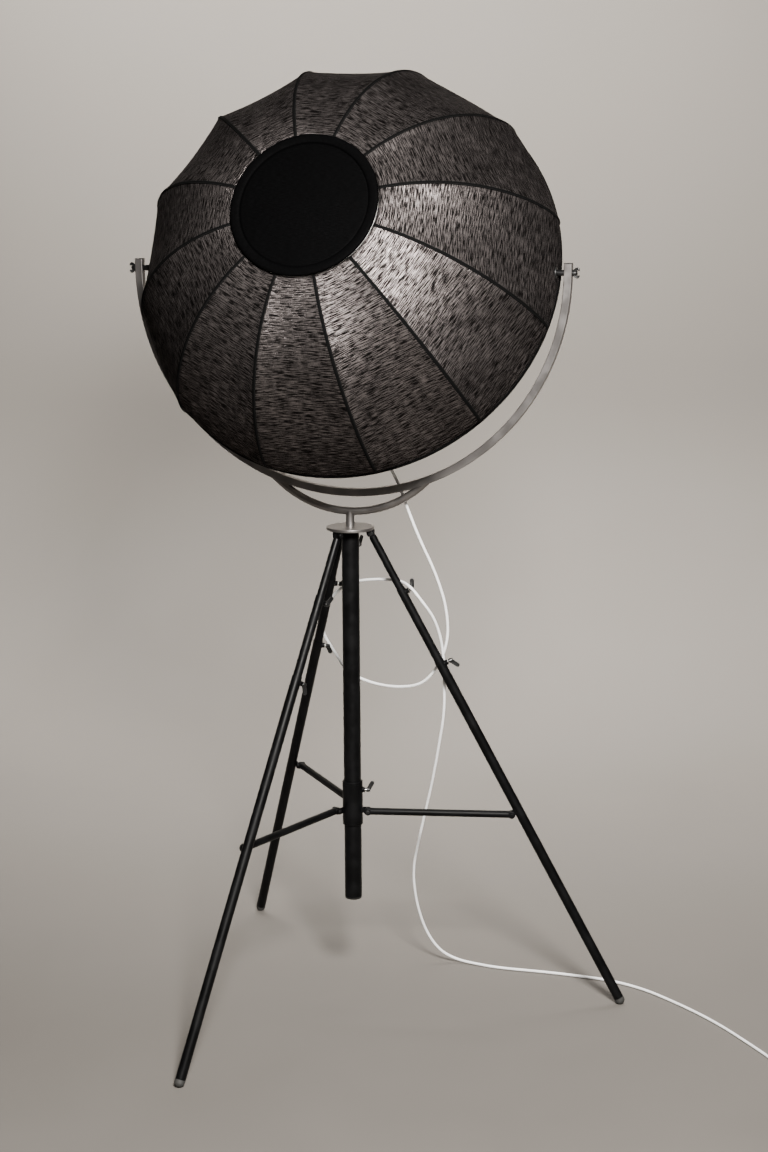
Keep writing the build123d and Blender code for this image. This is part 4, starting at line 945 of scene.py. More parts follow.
    def relief_profile(self, small: float, large: float, rings: int = 6) -> list[Pair]:
        """Tapered strain relief from its small end up, with a groove between each two rings.

        Args:
            small: radius at the small end.
            large: radius at the large end.
            rings: how many rings it has.

        Returns:
            Radius and height of its points.
        """
        pitch = self.relief_length / rings
        profile = [(0.0, 0.0)]
        for index in range(rings):
            radius = small + (large - small) * index / rings
            root, low = radius - self.groove, index * pitch
            profile += [
                (root, low), (radius, low + 0.0006), (radius + 0.0002, low + pitch - 0.0012),
                (root, low + pitch - 0.0006),
            ]
        return profile + [(large, self.relief_length), (0.0, self.relief_length)]

    def build_relief(self) -> bpy.types.Object:
        """Ribbed strain relief on the lampholder's side, with its seat.

        Returns:
            The relief.
        """
        level = self.holder_top - self.holder_setback
        place = self.places.head() @ shift(0, -self.holder_radius, level) @ turn(90, "X")
        profile = self.relief_profile(0.0045, 0.0062)
        shape = lathe([(radius, self.relief_length - height) for radius, height in profile], 40)
        seat = [(0, 0), (0.0068, 0), (0.0072, 0.0008), (0.0072, 0.0052), (0.0062, 0.006), (0, 0.006)]
        add_lathe(shape, shift(0, 0, -0.004), seat)
        return self.bench.piece(
            "cord_relief", shape, place, "head", FinishName.BAKELITE, Slot.HOLDER, ("cord_grip",),
        )

    def build(self) -> None:
        """Plug, relief and cord."""
        plug = self.build_plug()
        self.build_relief()
        self.build_cord()


# ---- shade --------------------------------------------------------------------------------------------
@dataclass
class Bowl:
    """The bowl's curve from hub to rim, over a rib and down the middle of a gore."""

    gores: int = 12
    hub_radius: float = 0.147
    rim_radius: float = 0.436
    rim_height: float = -0.0184
    depth: float = 0.322
    shoulder: Pair = (0.223, 0.023)
    belly: Pair = (0.029, 0.016)
    sink: float = 0.945
    heart: float = 0.060

    @property
    def hub_height(self) -> float:
        """Height of the bowl's top over the pivot axis."""
        return self.rim_height + self.depth

    def controls(self, sunk: bool) -> list[Vector]:
        """Control points as radius and height.

        Args:
            sunk: whether the curve is the one down the middle of a gore.

        Returns:
            The curve's four control points.
        """
        points = [
            Vector((self.hub_radius, self.hub_height)),
            Vector((self.hub_radius + self.shoulder[0], self.hub_height - self.shoulder[1])),
            Vector((self.rim_radius + self.belly[0], self.rim_height + self.belly[1])),
            Vector((self.rim_radius, self.rim_height)),
        ]
        if sunk:
            heart = Vector((0, self.rim_height + self.heart))
            points[1:3] = [heart + self.sink * (point - heart) for point in points[1:3]]
        return points

    def at(self, t: float, sunk: bool = False) -> Vector:
        """Radius and height of a point on the curve.

        Args:
            t: how far down the curve, from 0 at the hub to 1 at the rim.
            sunk: whether the curve is the one down the middle of a gore.

        Returns:
            The point.
        """
        a, b, c, d = self.controls(sunk)
        u = 1 - t
        return a * u**3 + b * 3 * u * u * t + c * 3 * u * t * t + d * t**3

    def slope(self, t: float) -> Vector:
        """Direction of the curve over a rib."""
        return (self.at(t + 1e-4) - self.at(t - 1e-4)).normalized()

    def point(self, s: float, t: float) -> Vector:
        """Point on a gore: s runs from one rib at -1 to the next at 1, t from hub to rim.

        Args:
            s: how far across the gore.
            t: how far down it.

        Returns:
            The point, in the head's frame with the gore about X.
        """
        half = pi / self.gores
        rib, mid = self.at(t), self.at(t, True)
        left = Vector((rib.x * cos(-half), rib.x * sin(-half), rib.y))
        right = Vector((rib.x * cos(half), rib.x * sin(half), rib.y))
        return left * (s * (s - 1) / 2) + Vector((mid.x, 0, mid.y)) * (1 - s * s) + right * (s * (s + 1) / 2)

    def lengths(self, steps: int, end: float = 1.0) -> list[float]:
        """Running length of the curve over a rib, at even steps.

        Args:
            steps: how many steps there are.
            end: where on the curve they end.

        Returns:
            The length at each step, from 0.
        """
        made, before = [0.0], self.at(0)
        for index in range(1, steps + 1):
            here = self.at(end * index / steps)
            made.append(made[-1] + (here - before).length)
            before = here
        return made


@dataclass
class ShadeCover:
    """Twelve sewn gores, their seam tapes, the hem round the rim hoop and its small trims."""

    places: Places
    bench: Bench
    bowl: Bowl
    across: int = 18
    along: int = 84
    tuck: float = 1.022
    cloth: float = 0.0009
    pucker: float = 0.0005
    pucker_pitch: float = 0.021
    pucker_reach: float = 0.016
    seam_hold: float = 0.004
    slack: float = 0.0006
    tape_width: float = 0.007
    tape_crown: float = 0.0012
    tape_thickness: float = 0.0004
    hoop_radius: float = 0.431
    hoop_height: float = -0.0247
    hem_radius: float = 0.0068
    gather: float = 0.05
    gather_reach: float = 0.2

    def lay_round(self, shape: bmesh.types.BMesh, gores: float) -> None:
        """Turn a shape round the bowl by a number of gores."""
        put(shape, Matrix.Rotation(gores * 2 * pi / self.bowl.gores, 4, "Z"))

    def gore(self, index: int) -> bmesh.types.BMesh:
        """One gore as an open sheet, turned to its place round the bowl.

        Args:
            index: which gore, counted from X.

        Returns:
            The sheet.
        """
        shape = bmesh.new()
        bmesh.ops.create_grid(shape, x_segments=self.across, y_segments=self.along, size=1.0)
        lengths = self.bowl.lengths(self.along, self.tuck)
        flat = {}
        for vert in shape.verts:
            s, step = vert.co.x, (vert.co.y + 1) / 2
            t = step * self.tuck
            at, way = self.bowl.point(s, t), 1 if s >= 0 else -1
            side = (at - self.bowl.point(0, t)).length * way
            edge = (self.bowl.point(way, t) - at).length
            down = lengths[round(step * self.along)]
            fade = exp(-edge / self.pucker_reach) * min(1.0, edge / self.seam_hold)
            drift = 3 * noise.noise(Vector((index * 3.7, down * 9, s)))
            wave = sin(2 * pi * down / self.pucker_pitch + drift)
            loose = noise.noise(Vector((index * 5.3 + s, down * 14, 0.5)))
            inward = Vector((0, 0, self.bowl.heart)) - at
            inward.normalize()
            at = at + inward * (self.pucker * fade * (1 + wave) + self.slack * (1 - s * s) * (1 + loose))
            flat[vert] = (side + 0.4 * index, down)
            vert.co = at
        unwrap(shape, flat)
        self.lay_round(shape, index)
        return shape

    def build_cover(self) -> bpy.types.Object:
        """All gores as one sewn cover, with its coated inner side.


        Returns:
            The cover.
        """
        shape = bmesh.new()
        for index in range(self.bowl.gores):
            merge_into(shape, self.gore(index))
        self.turn_outwards(shape)
        cover = self.bench.piece(
            "shade_cloth", shape, self.places.head(), "head", (FinishName.SATIN_CLOTH, FinishName.LINING),
            Slot.FABRIC, ("shade_cover",), sharp=180, outward=False,
        )
        wall = give_wall(cover, "cloth_thickness", self.cloth)
        wall.material_offset = 1
        wall.use_even_offset = True
        cut_length = self.bowl.lengths(self.along, self.tuck)[-1]
        stations = [index / 20 for index in range(21)]
        widest = max(2 * (self.bowl.point(1, t) - self.bowl.point(0, t)).length for t in stations)
        return cover

    @staticmethod
    def turn_outwards(shape: bmesh.types.BMesh) -> None:
        """Turn the faces of an open bowl away from its heart.

        Args:
            shape: the bowl.
        """
        heart = Vector((0, 0, Bowl.heart))
        bmesh.ops.remove_doubles(shape, verts=shape.verts, dist=1e-6)
        bmesh.ops.recalc_face_normals(shape, faces=shape.faces)
        inward = [face for face in shape.faces if face.normal.dot(face.calc_center_median() - heart) < 0]
        if len(inward) > len(shape.faces) / 2:
            bmesh.ops.reverse_faces(shape, faces=shape.faces)

    def build_tapes(self) -> bpy.types.Object:
        """Crowned tape over each seam, with its stitches.

        Returns:
            The tapes.
        """
        shape = bmesh.new()
        for index in range(self.bowl.gores):
            tape = bmesh.new()
            bmesh.ops.create_grid(tape, x_segments=8, y_segments=self.along, size=1.0)
            lengths = self.bowl.lengths(self.along, self.tuck)
            flat = {}
            for vert in tape.verts:
                side, step = vert.co.x, (vert.co.y + 1) / 2
                t = min(1.0, step * self.tuck)
                rib, slope = self.bowl.at(step * self.tuck), self.bowl.slope(t)
                out = Vector((-slope.y, slope.x))
                rise = self.tape_crown * sqrt(max(0.0, 1 - side**4)) - 0.0002
                edge = rib + out * rise
                flat[vert] = (side * self.tape_width / 2, lengths[round(step * self.along)])
                vert.co = (edge.x, side * self.tape_width / 2, edge.y)
            unwrap(tape, flat)
            self.lay_round(tape, index + 0.5)
            merge_into(shape, tape)
        self.turn_outwards(shape)
        tapes = self.bench.piece(
            "seam_tape_trim", shape, self.places.head(), "head", FinishName.TAPE, Slot.TAPE,
            ("seam_tapes",), sharp=180, outward=False,
        )
        give_wall(tapes, "tape_thickness", self.tape_thickness)
        return tapes

    def build_hem(self) -> bpy.types.Object:
        """Sleeve of cloth sewn round the rim hoop.

        Returns:
            The hem.
        """
        centre = (self.hoop_radius, self.hoop_height)
        shape = lathe(lobe_profile(centre, self.hem_radius, self.hem_radius, 20), 240, closed=True)

        def gathers(angle: float, height: float) -> float:
            """Fuller by the seams, where the cloth is gathered.

            Args:
                angle: angle round Z.
                height: height on the section.

            Returns:
                The share by which the section swells.
            """
            rib = abs((angle / (2 * pi) * self.bowl.gores) % 1 - 0.5)
            share = 0.5 + 0.5 * noise.noise(Vector((cos(angle) * 40, sin(angle) * 40, height * 60)))
            return self.gather * share * exp(-rib / self.gather_reach)

        swell(shape, centre, gathers)
        ring_uv(shape, centre)
        return self.bench.piece(
            "rim_hem", shape, self.places.head(), "head", FinishName.TAPE, Slot.FABRIC, sharp=180,
        )

    def build_knot(self) -> bpy.types.Object:
        """Small end of drawn thread under the lowest point of the rim.

        Returns:
            The knot.
        """
        shape = bmesh.new()
        profile = [
            (0, -0.0035), (0.002, -0.003), (0.0028, -0.001), (0.0026, 0.001), (0.0016, 0.0028), (0, 0.0032),
        ]
        low = self.hoop_height - self.hem_radius - 0.0014
        add_lathe(shape, shift(0, -self.hoop_radius - 0.002, low), profile, 20)
        return self.bench.piece(
            "hem_knot", shape, self.places.head(), "head", FinishName.HUB_CLOTH, Slot.FABRIC,
        )

    def build_eyelets(self) -> bpy.types.Object:
        """Reinforcing washers where the pivot spacers pass through the cover.

        Returns:
            The washers.
        """
        share = next(t / 200 for t in range(100, 201) if self.bowl.at(t / 200, True).y <= 0.0)
        reach = self.bowl.point(0, share).x
        shape = bmesh.new()
        profile = [
            (0.0063, -0.002), (0.0106, -0.002), (0.0112, -0.0006), (0.0106, 0.0008), (0.0082, 0.0016),
            (0.0068, 0.0012), (0.0063, 0.0),
        ]
        for side in (-1, 1):
            ring = lathe(profile, 40, closed=True)
            put(ring, turn(90 + 90 * -side, "Z") @ shift(reach, 0, 0) @ turn(90, "Y"))
            merge_into(shape, ring)
        return self.bench.piece(
            "pivot_eyelets", shape, self.places.head(), "head", FinishName.KNOB, Slot.PLASTIC,
        )

    def build(self) -> None:
        """Tapes, hem and knot first, then the eyelets and the cover."""
        trims = [self.build_tapes(), self.build_hem(), self.build_knot()]
        self.build_eyelets()
        self.build_cover()


@dataclass
class HubTrim:
    """Padded ring and stretched cap over the shade's hub."""

    places: Places
    bench: Bench
    bowl: Bowl
    ring_width: float = 0.0195
    ring_height: float = 0.0094
    ring_lap: float = 0.0006
    fold: float = 0.035
    seat: float = 0.0003
    dome: float = 0.008
    rings: int = 24
    cap_thickness: float = 0.0012

    def build_ring(self) -> bpy.types.Object:
        """Stuffed ring with slight folds all round.

        Returns:
            The ring.
        """
        centre = (
            self.bowl.hub_radius + self.ring_lap - self.ring_width / 2,
            self.bowl.hub_height + self.seat + self.ring_height / 2,
        )
        section = lobe_profile(centre, self.ring_width / 2, self.ring_height / 2, 28, 2.6)
        shape = lathe(section, 180, closed=True)

        def folds(angle: float, height: float) -> float:
            """Slight folds of the stuffed cloth."""
            return self.fold * noise.noise(Vector((cos(angle) * 22, sin(angle) * 22, height * 30)))

        swell(shape, centre, folds)
        ring_uv(shape, centre)
        ring = self.bench.piece(
            "hub_ring_pad", shape, self.places.head(), "head", FinishName.HUB_CLOTH, Slot.FABRIC,
            ("hub_ring",), sharp=180,
        )
        return ring

    def build_cap(self) -> bpy.types.Object:
        """Cloth stretched over the hub's shallow dome.

        Returns:
            The cap.
        """
        edge = self.bowl.hub_radius + self.ring_lap - self.ring_width + 0.0015
        low = self.bowl.hub_height + self.seat + 0.005
        profile = [
            (edge * index / self.rings, low + self.dome * (1 - (index / self.rings) ** 2))
            for index in range(self.rings + 1)
        ]
        shape = lathe(profile, 96)
        unwrap(shape, {vert: vert.co.xy for vert in shape.verts})
        self.face_up(shape)
        cap = self.bench.piece(
            "hub_cap_cloth", shape, self.places.head(), "head", FinishName.HUB_CLOTH, Slot.FABRIC,
            ("hub_cap",), sharp=180, outward=False,
        )
        give_wall(cap, "cloth_thickness", self.cap_thickness)
        return cap

    @staticmethod
    def face_up(shape: bmesh.types.BMesh) -> None:
        """Turn an open dome's faces up.

        Args:
            shape: the dome.
        """
        bmesh.ops.recalc_face_normals(shape, faces=shape.faces)
        if sum(face.normal.z for face in shape.faces) < 0:
            bmesh.ops.reverse_faces(shape, faces=shape.faces)

    def build(self) -> None:
        """Ring and cap."""
        self.build_ring()
        self.build_cap()


# ---- lamp inside the shade ------------------------------------------------------------------------------
@dataclass
class LampUnit:
    """Lampholder, bulb cap and the small fixings on the hub plate's inner side."""

    places: Places
    bench: Bench
    holder_top: float = 0.139
    holder_length: float = 0.066
    holder_radius: float = 0.021
    thread_radius: float = 0.013
    plate_face: float = 0.293
    flange_face: float = 0.289
    ribs: int = 12
    rivet_circles: Pair = (0.128, 0.140)
    flange_screws: int = 3
    flange_circle: float = 0.027
    screw_seat: float = 0.028

    def build_holder(self) -> bpy.types.Object:
        """Holder with a domed cap, a knurled waist and a screwed skirt ring.

        Returns:
            The holder.
        """
        top, low, r = self.holder_top, self.holder_top - self.holder_length, self.holder_radius
        profile = [
            (0, top), (r - 0.009, top), (r - 0.005, top - 0.0012), (r - 0.0015, top - 0.005),
            (r, top - 0.010), (r, top - 0.026), (r - 0.0014, top - 0.0268), (r - 0.0014, top - 0.0282),
            (r, top - 0.029),
        ]
        for index in range(6):
            start, waist = top - 0.031 - 0.0042 * index, r - 0.0009
            profile += [(r, start), (waist, start - 0.0009), (waist, start - 0.0026), (r, start - 0.0034)]
        profile += [
            (r, low + 0.0035), (r - 0.0008, low), (r - 0.003, low), (r - 0.0035, low + 0.026),
            (0, low + self.screw_seat),
        ]
        return self.bench.piece(
            "lampholder_shell", lathe(profile, 64), self.places.head(), "head", FinishName.BAKELITE,
            Slot.HOLDER, ("lampholder",),
        )

    def build_bulb_cap(self) -> bpy.types.Object:
        """Rolled screw shell, its insulator and centre contact.

        Returns:
            The bulb's cap.
        """
        seat = self.holder_top - self.holder_length + self.screw_seat
        r, root = self.thread_radius, self.thread_radius - 0.0016
        profile = [(0, seat - 0.0002), (0.0035, seat - 0.0004), (0.005, seat - 0.002), (0.0085, seat - 0.004)]
        for index in range(6):
            start = seat - 0.0055 - 0.0036 * index
            profile += [(root, start), (r, start - 0.0012), (r, start - 0.0018), (root, start - 0.003)]
        profile += [(r - 0.0006, seat - 0.0275), (0, seat - 0.0278)]
        return self.bench.piece(
            "bulb_screw_shell", lathe(profile, 56), self.places.head(), "head", FinishName.BULB_SHELL,
            Slot.BULB_METAL, ("bulb_cap",),
        )

    def build_fixings(self) -> bpy.types.Object:
        """Rivets under the ribs' roots and three screws through the stem's flange.

        Returns:
            The rivets and screws.
        """
        dome = [
            (0, -0.0019), (0.0016, -0.0017), (0.0029, -0.0009), (0.0034, 0.0), (0.0034, 0.0006), (0, 0.0006),
        ]
        sink = 0.0004
        shape = bmesh.new()
        for index in range(self.ribs):
            place = turn((index + 0.5) * 360 / self.ribs, "Z")
            for radius in self.rivet_circles:
                add_lathe(shape, place @ shift(radius, 0, self.plate_face - sink), dome, 20)
        for index in range(self.flange_screws):
            place = turn(index * 360 / self.flange_screws + 30, "Z")
            place = place @ shift(self.flange_circle, 0, self.flange_face - sink)
            add_lathe(shape, place, [(r * 1.15, z * 1.3) for r, z in dome], 24)
        return self.bench.piece(
            "hub_plate_fixings", shape, self.places.head(), "head", FinishName.ZINC, Slot.STEEL,
        )

    def build(self) -> None:
        """Holder, bulb cap and fixings."""
        self.build_holder()
        self.build_bulb_cap()
        self.build_fixings()


# ---- clamp screws and nuts ------------------------------------------------------------------------------
@dataclass(frozen=True)
class Clamp:
    """Boss on a tube and the screw in it.

    The boss stands along the X of its place, on a tube of a given radius.
    """

    stem: str
    screw_body: str
    weld: str
    tube_body: str
    place: Matrix
    tube_radius: float
    reach: float
    wing_up: bool = True


@dataclass
class ThumbScrews:
    """Plastic single-wing knobs with plated threads, one at each clamp."""

    places: Places
    bench: Bench
    boss_height: float = 0.005
    neck: float = 0.003
    hub_diameter: float = 0.010
    hub_length: float = 0.009
    wing_length: float = 0.024
    wing_width: float = 0.009
    wing_thickness: float = 0.005
    wing_lean: float = 62.0
    wing_dish: float = 0.14
    wing_taper: float = 0.28
    thread_diameter: float = 0.006
    thread_depth: float = 0.0005
    thread_pitch: float = 0.001
    leg_turns: dict[str, float] = field(
        default_factory=lambda: {"right": 0.0, "front": 165.0, "back": -111.0}
    )
    mouths: Pair = (0.133, 0.306)
    mouth_gap: float = 0.011
    leg_tubes: Pair = (0.00925, 0.0105)
    leg_reach: float = 0.00595
    column_drop: float = 0.044
    column_turn: float = 60.0
    column_tube: float = 0.01825
    column_reach: float = 0.0142
    collar_rise: float = 0.076
    collar_tube: float = 0.0215
    collar_reach: float = 0.00795

    def clamps(self) -> Iterable[Clamp]:
        """Clamps of the three legs, the column and the collar.

        Returns:
            Each clamp, in the order that its pieces are made.
        """
        for name, angle in self.leg_turns.items():
            for level, tube, mouth, radius in zip(
                ("upper", "lower"), ("middle", "lower"), self.mouths, self.leg_tubes
            ):
                place = self.places.leg(name) @ shift(0, 0, -mouth - self.mouth_gap) @ turn(angle, "Z")
                yield Clamp(
                    f"{name}_leg_{level}", f"{name}_{level}_screw", f"{name}_{tube}_tube_weld",
                    f"{name}_{tube}_leg", place, radius, self.leg_reach, wing_up=level == "upper",
                )
        right = self.places.azimuths["right"]
        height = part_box("top_plate")[1].z - self.column_drop
        yield Clamp(
            "column", "column_screw", "column_boss_weld", "stand",
            self.places.column(height, right + self.column_turn), self.column_tube, self.column_reach,
        )
        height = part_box("collar")[0].z + self.collar_rise
        yield Clamp(
            "collar", "collar_screw", "collar_boss_weld", "collar", self.places.column(height, right),
            self.collar_tube, self.collar_reach,
        )

    def blade(self, length: float, width: float, thickness: float, lean: float) -> bmesh.types.BMesh:
        """Rounded wing with a dished face on each side, leaning from Z towards X.

        Args:
            length: the wing's length.
            width: its width.
            thickness: its thickness at the hub.
            lean: its angle from Z.

        Returns:
            The wing.
        """
        shape = block(length, thickness, width)
        corners = [
            edge for edge in shape.edges if abs(edge.verts[0].co.y - edge.verts[1].co.y) > thickness / 2
        ]
        round_off(shape, corners, width * 0.49, 8)
        faces = [face for face in shape.faces if abs(face.normal.y) > 0.9]
        dish = bmesh.ops.inset_region(shape, faces=faces, thickness=width * 0.22, depth=0)
        inner = [face for face in shape.faces if abs(face.normal.y) > 0.9 and face not in dish["faces"]]
        for face in inner:
            bmesh.ops.translate(shape, vec=face.normal * (-thickness * self.wing_dish), verts=face.verts)
        rims = [edge for edge in shape.edges if self._is_rim(edge, thickness)]
        round_off(shape, rims, thickness * 0.24, 3)
        for vert in shape.verts:
            vert.co.y *= 1.0 - self.wing_taper * (vert.co.x / length + 0.5)
        put(shape, turn(lean - 90, "Y") @ shift(length / 2 - width / 4, 0, 0))
        return shape

    @staticmethod
    def _is_rim(edge: bmesh.types.BMEdge, thickness: float) -> bool:
        """Whether an edge runs round the outline of a blade's face.

        Args:
            edge: the edge.
            thickness: the blade's thickness.

        Returns:
            Whether it does.
        """
        on_face = all(abs(abs(vert.co.y) - thickness / 2) < 1e-6 for vert in edge.verts)
        normals = [abs(face.normal.y) for face in edge.link_faces]
        return on_face and len(normals) == 2 and min(normals) < 0.5 < max(normals)

    def knob(self) -> bmesh.types.BMesh:
        """Hub and wing of a knob, in the screw's frame.

        Returns:
            The knob.
        """
        r, low, high = self.hub_diameter / 2, self.neck, self.neck + self.hub_length
        profile = [
            (0, low), (r - 0.0007, low), (r, low + 0.0006), (r, low + 0.0022), (r * 0.93, low + 0.003),
            (r * 0.83, high - 0.0012), (r * 0.72, high - 0.0002), (r * 0.5, high), (0, high + 0.0001),
        ]
        shape = lathe(profile, 40)
        wing = self.blade(self.wing_length, self.wing_width, self.wing_thickness, self.wing_lean)
        put(wing, shift(0, 0, low + self.hub_length / 2))
        merge_into(shape, wing)
        return shape

    def thread(self, reach: float) -> bmesh.types.BMesh:
        """Shank with its thread, from its point up into the knob.

        Args:
            reach: how far its point lies below the boss.

        Returns:
            The shank.
        """
        crest, root = self.thread_diameter / 2, self.thread_diameter / 2 - self.thread_depth
        pitch = self.thread_pitch
        low, high = -reach, self.neck + 0.001
        profile = [(0, low), (root - 0.0003, low), (root, low + 0.0006)]
        for index in range(int((high - low - 0.0012) / pitch)):
            start = low + 0.0008 + index * pitch
            profile += [(root, start), (crest, start + pitch * 0.45), (crest, start + pitch * 0.6)]
        return lathe(profile + [(root, high), (0, high)], 32)

    def build(self) -> None:
        """Knob and thread of each clamp's screw."""
        for clamp in self.clamps():
            spin = turn(180 if clamp.wing_up else 0, "Z")
            place = clamp.place @ shift(clamp.tube_radius + self.boss_height, 0, 0) @ turn(90, "Y") @ spin
            self.bench.piece(
                f"{clamp.stem}_knob", self.knob(), place, clamp.screw_body, FinishName.KNOB, Slot.PLASTIC,
                (f"{clamp.stem}_thumb_screw",),
            )
            self.bench.piece(
                f"{clamp.stem}_thread", self.thread(clamp.reach), place, clamp.screw_body, FinishName.ZINC,
                Slot.STEEL,
            )


@dataclass
class WingNuts:
    """Two-winged nuts on the pivot bolts."""

    screws: ThumbScrews
    hub_diameter: float = 0.013
    hub_length: float = 0.008
    bore: float = 0.0081
    wing_length: float = 0.015
    wing_width: float = 0.010
    wing_thickness: float = 0.005
    wing_root: float = 0.0035
    wing_lean: float = 38.0
    seat: float = 0.4653

    def nut(self) -> bmesh.types.BMesh:
        """Nut in its own frame, seated on the origin.

        Returns:
            The nut.
        """
        r, bore, high = self.hub_diameter / 2, self.bore / 2, self.hub_length
        profile = [
            (bore, 0.0), (r - 0.0004, 0.0), (r, 0.0004), (r, 0.0016), (r - 0.0006, 0.0022),
            (r - 0.0014, high - 0.001), (r - 0.002, high), (bore + 0.0004, high), (bore, high - 0.0004),
        ]
        shape = lathe(profile, 40, closed=True)
        for side in (0, 180):
            wing = self.screws.blade(
                self.wing_length, self.wing_width, self.wing_thickness, self.wing_lean
            )
            put(wing, shift(0.0014, 0, self.wing_root))
            self.clear_bore(wing)
            put(wing, turn(side, "Z"))
            merge_into(shape, wing)
        return shape

    def clear_bore(self, wing: bmesh.types.BMesh) -> None:
        """Cut away what a wing would have inside the bore and under the seat.

        Args:
            wing: the wing, on the side of X.
        """
        cuts = (((self.bore / 2 + 0.0004, 0, 0), (-1, 0, 0)), ((0, 0, 0.0006), (0, 0, -1)))
        for point, normal in cuts:
            geom = wing.verts[:] + wing.edges[:] + wing.faces[:]
            cut = bmesh.ops.bisect_plane(wing, geom=geom, plane_co=point, plane_no=normal, clear_outer=True)
            edges = [item for item in cut["geom_cut"] if isinstance(item, bmesh.types.BMEdge)]
            bmesh.ops.holes_fill(wing, edges=edges, sides=0)

    def build(self) -> None:
        """Nut on each side."""
        places, bench = self.screws.places, self.screws.bench
        for name, side in (("left", -1), ("right", 1)):
            place = shift(*places.pivot) @ shift(side * self.seat, 0, 0) @ turn(side * 90, "Y")
            bench.piece(
                f"{name}_nut", self.nut(), place, f"{name}_nut", FinishName.KNOB, Slot.PLASTIC,
                (f"{name}_wing_nut",),
            )


# ---- welds and carried-over nodes -----------------------------------------------------------------------
@dataclass
class FrameJoints:
    """Weld beads at the bosses of the leg tubes and the column."""

    screws: ThumbScrews
    bead: float = 0.0009
    ripple: float = 0.00012
    boss_radius: float = 0.0055

    def build(self) -> None:
        """Bead where each boss meets its tube, following the tube's round."""
        section = lobe_profile((self.boss_radius, 0.0), self.bead, self.bead, 10)
        for clamp in self.screws.clamps():
            shape = lathe(section, 48, closed=True)
            put(shape, turn(90, "Y"))
            for vert in shape.verts:
                ripple = self.ripple * sin(16 * atan2(vert.co.z, vert.co.y))
                vert.co.x += sqrt(max(1e-8, clamp.tube_radius**2 - vert.co.y**2)) + ripple
            self.screws.bench.piece(
                clamp.weld, shape, clamp.place, clamp.tube_body, FinishName.POWDER, Slot.PAINT, sharp=180,
            )


@dataclass
class CarriedNodes:
    """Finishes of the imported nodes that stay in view."""

    finishes: Finishes
    special: dict[str, FinishName] = field(
        default_factory=lambda: {
            **dict.fromkeys(("right_foot_tip", "front_foot_tip", "back_foot_tip"), FinishName.RUBBER),
            **dict.fromkeys(("leg_pins", "brace_pins", "pivot_spacers"), FinishName.BLACKED),
            **dict.fromkeys(("pivot_bolts", "pivot_straps"), FinishName.BLACKED),
        }
    )
    by_slot: dict[Slot, FinishName] = field(
        default_factory=lambda: {
            Slot.PAINT: FinishName.POWDER,
            Slot.SATIN: FinishName.GUNMETAL,
            Slot.PLASTIC: FinishName.KNOB,
            Slot.STEEL: FinishName.ZINC,
            Slot.FABRIC: FinishName.HUB_CLOTH,
            Slot.TAPE: FinishName.TAPE,
            Slot.FRAME: FinishName.ENAMEL,
            Slot.HOLDER: FinishName.BAKELITE,
            Slot.GLASS: FinishName.OPAL,
            Slot.BULB_METAL: FinishName.BULB_SHELL,
            Slot.FLEX: FinishName.SHEATH,
            Slot.PLUG_METAL: FinishName.PIN,
        }
    )

    def build(self) -> None:
        """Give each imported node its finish."""
        slots = {part["node"]: Slot(part["material_slot"]) for part in frame["record"]["subparts"]}
        for node, made in frame["nodes"].items():
            finish = self.special.get(node, self.by_slot[slots[node]])
            if not made.material_slots:
                made.data.materials.append(self.finishes[finish])
            for holder in made.material_slots:
                holder.material = self.finishes[finish]
        LOG.info("%d packed nodes have their finishes", len(frame["nodes"]))


# ---- studio ---------------------------------------------------------------------------------------------
@dataclass
class ViewCamera:
    """Camera of the main view."""

    places: Places
    offset: Sequence[float] = (1.3422, -4.2289, 1.8350)
    azimuth: float = 16.708
    pitch: float = 0.2012
    roll: float = 0.0059
    lens: float = 67.552
    sensor: float = 36.0

    def build(self) -> bpy.types.Object:
        """Make the camera and put it in use.

        Returns:
            The camera.
        """
        data = bpy.data.cameras.new("main_camera")
        data.sensor_width = self.sensor
        data.lens = self.lens
        data.clip_end = 60.0
        camera = bpy.data.objects.new("main_camera", data)
        a, p = radians(self.azimuth), self.pitch
        ahead = Vector((-sin(a) * cos(p), cos(a) * cos(p), -sin(p)))
        level = Vector((cos(a), sin(a), 0.0))
        down = ahead.cross(level)
        right = level * cos(self.roll) + down * sin(self.roll)
        up = -(down * cos(self.roll) - level * sin(self.roll))
        turned = Matrix((right, up, -ahead)).transposed().to_4x4()
        camera.matrix_world = Matrix.Translation(Vector(self.offset) + self.places.axis) @ turned
        bpy.context.scene.collection.objects.link(camera)
        bpy.context.scene.camera = camera
        return camera


@dataclass(frozen=True)
class SoftLight:
    """Area light, placed in the studio: to the right, away from the camera, and up."""

    name: str
    place: Sequence[float]
    aim: Sequence[float]
    size: Pair
    power: float
    spread: float = 180.0
    colour: Colour = (1.0, 0.97, 0.93)


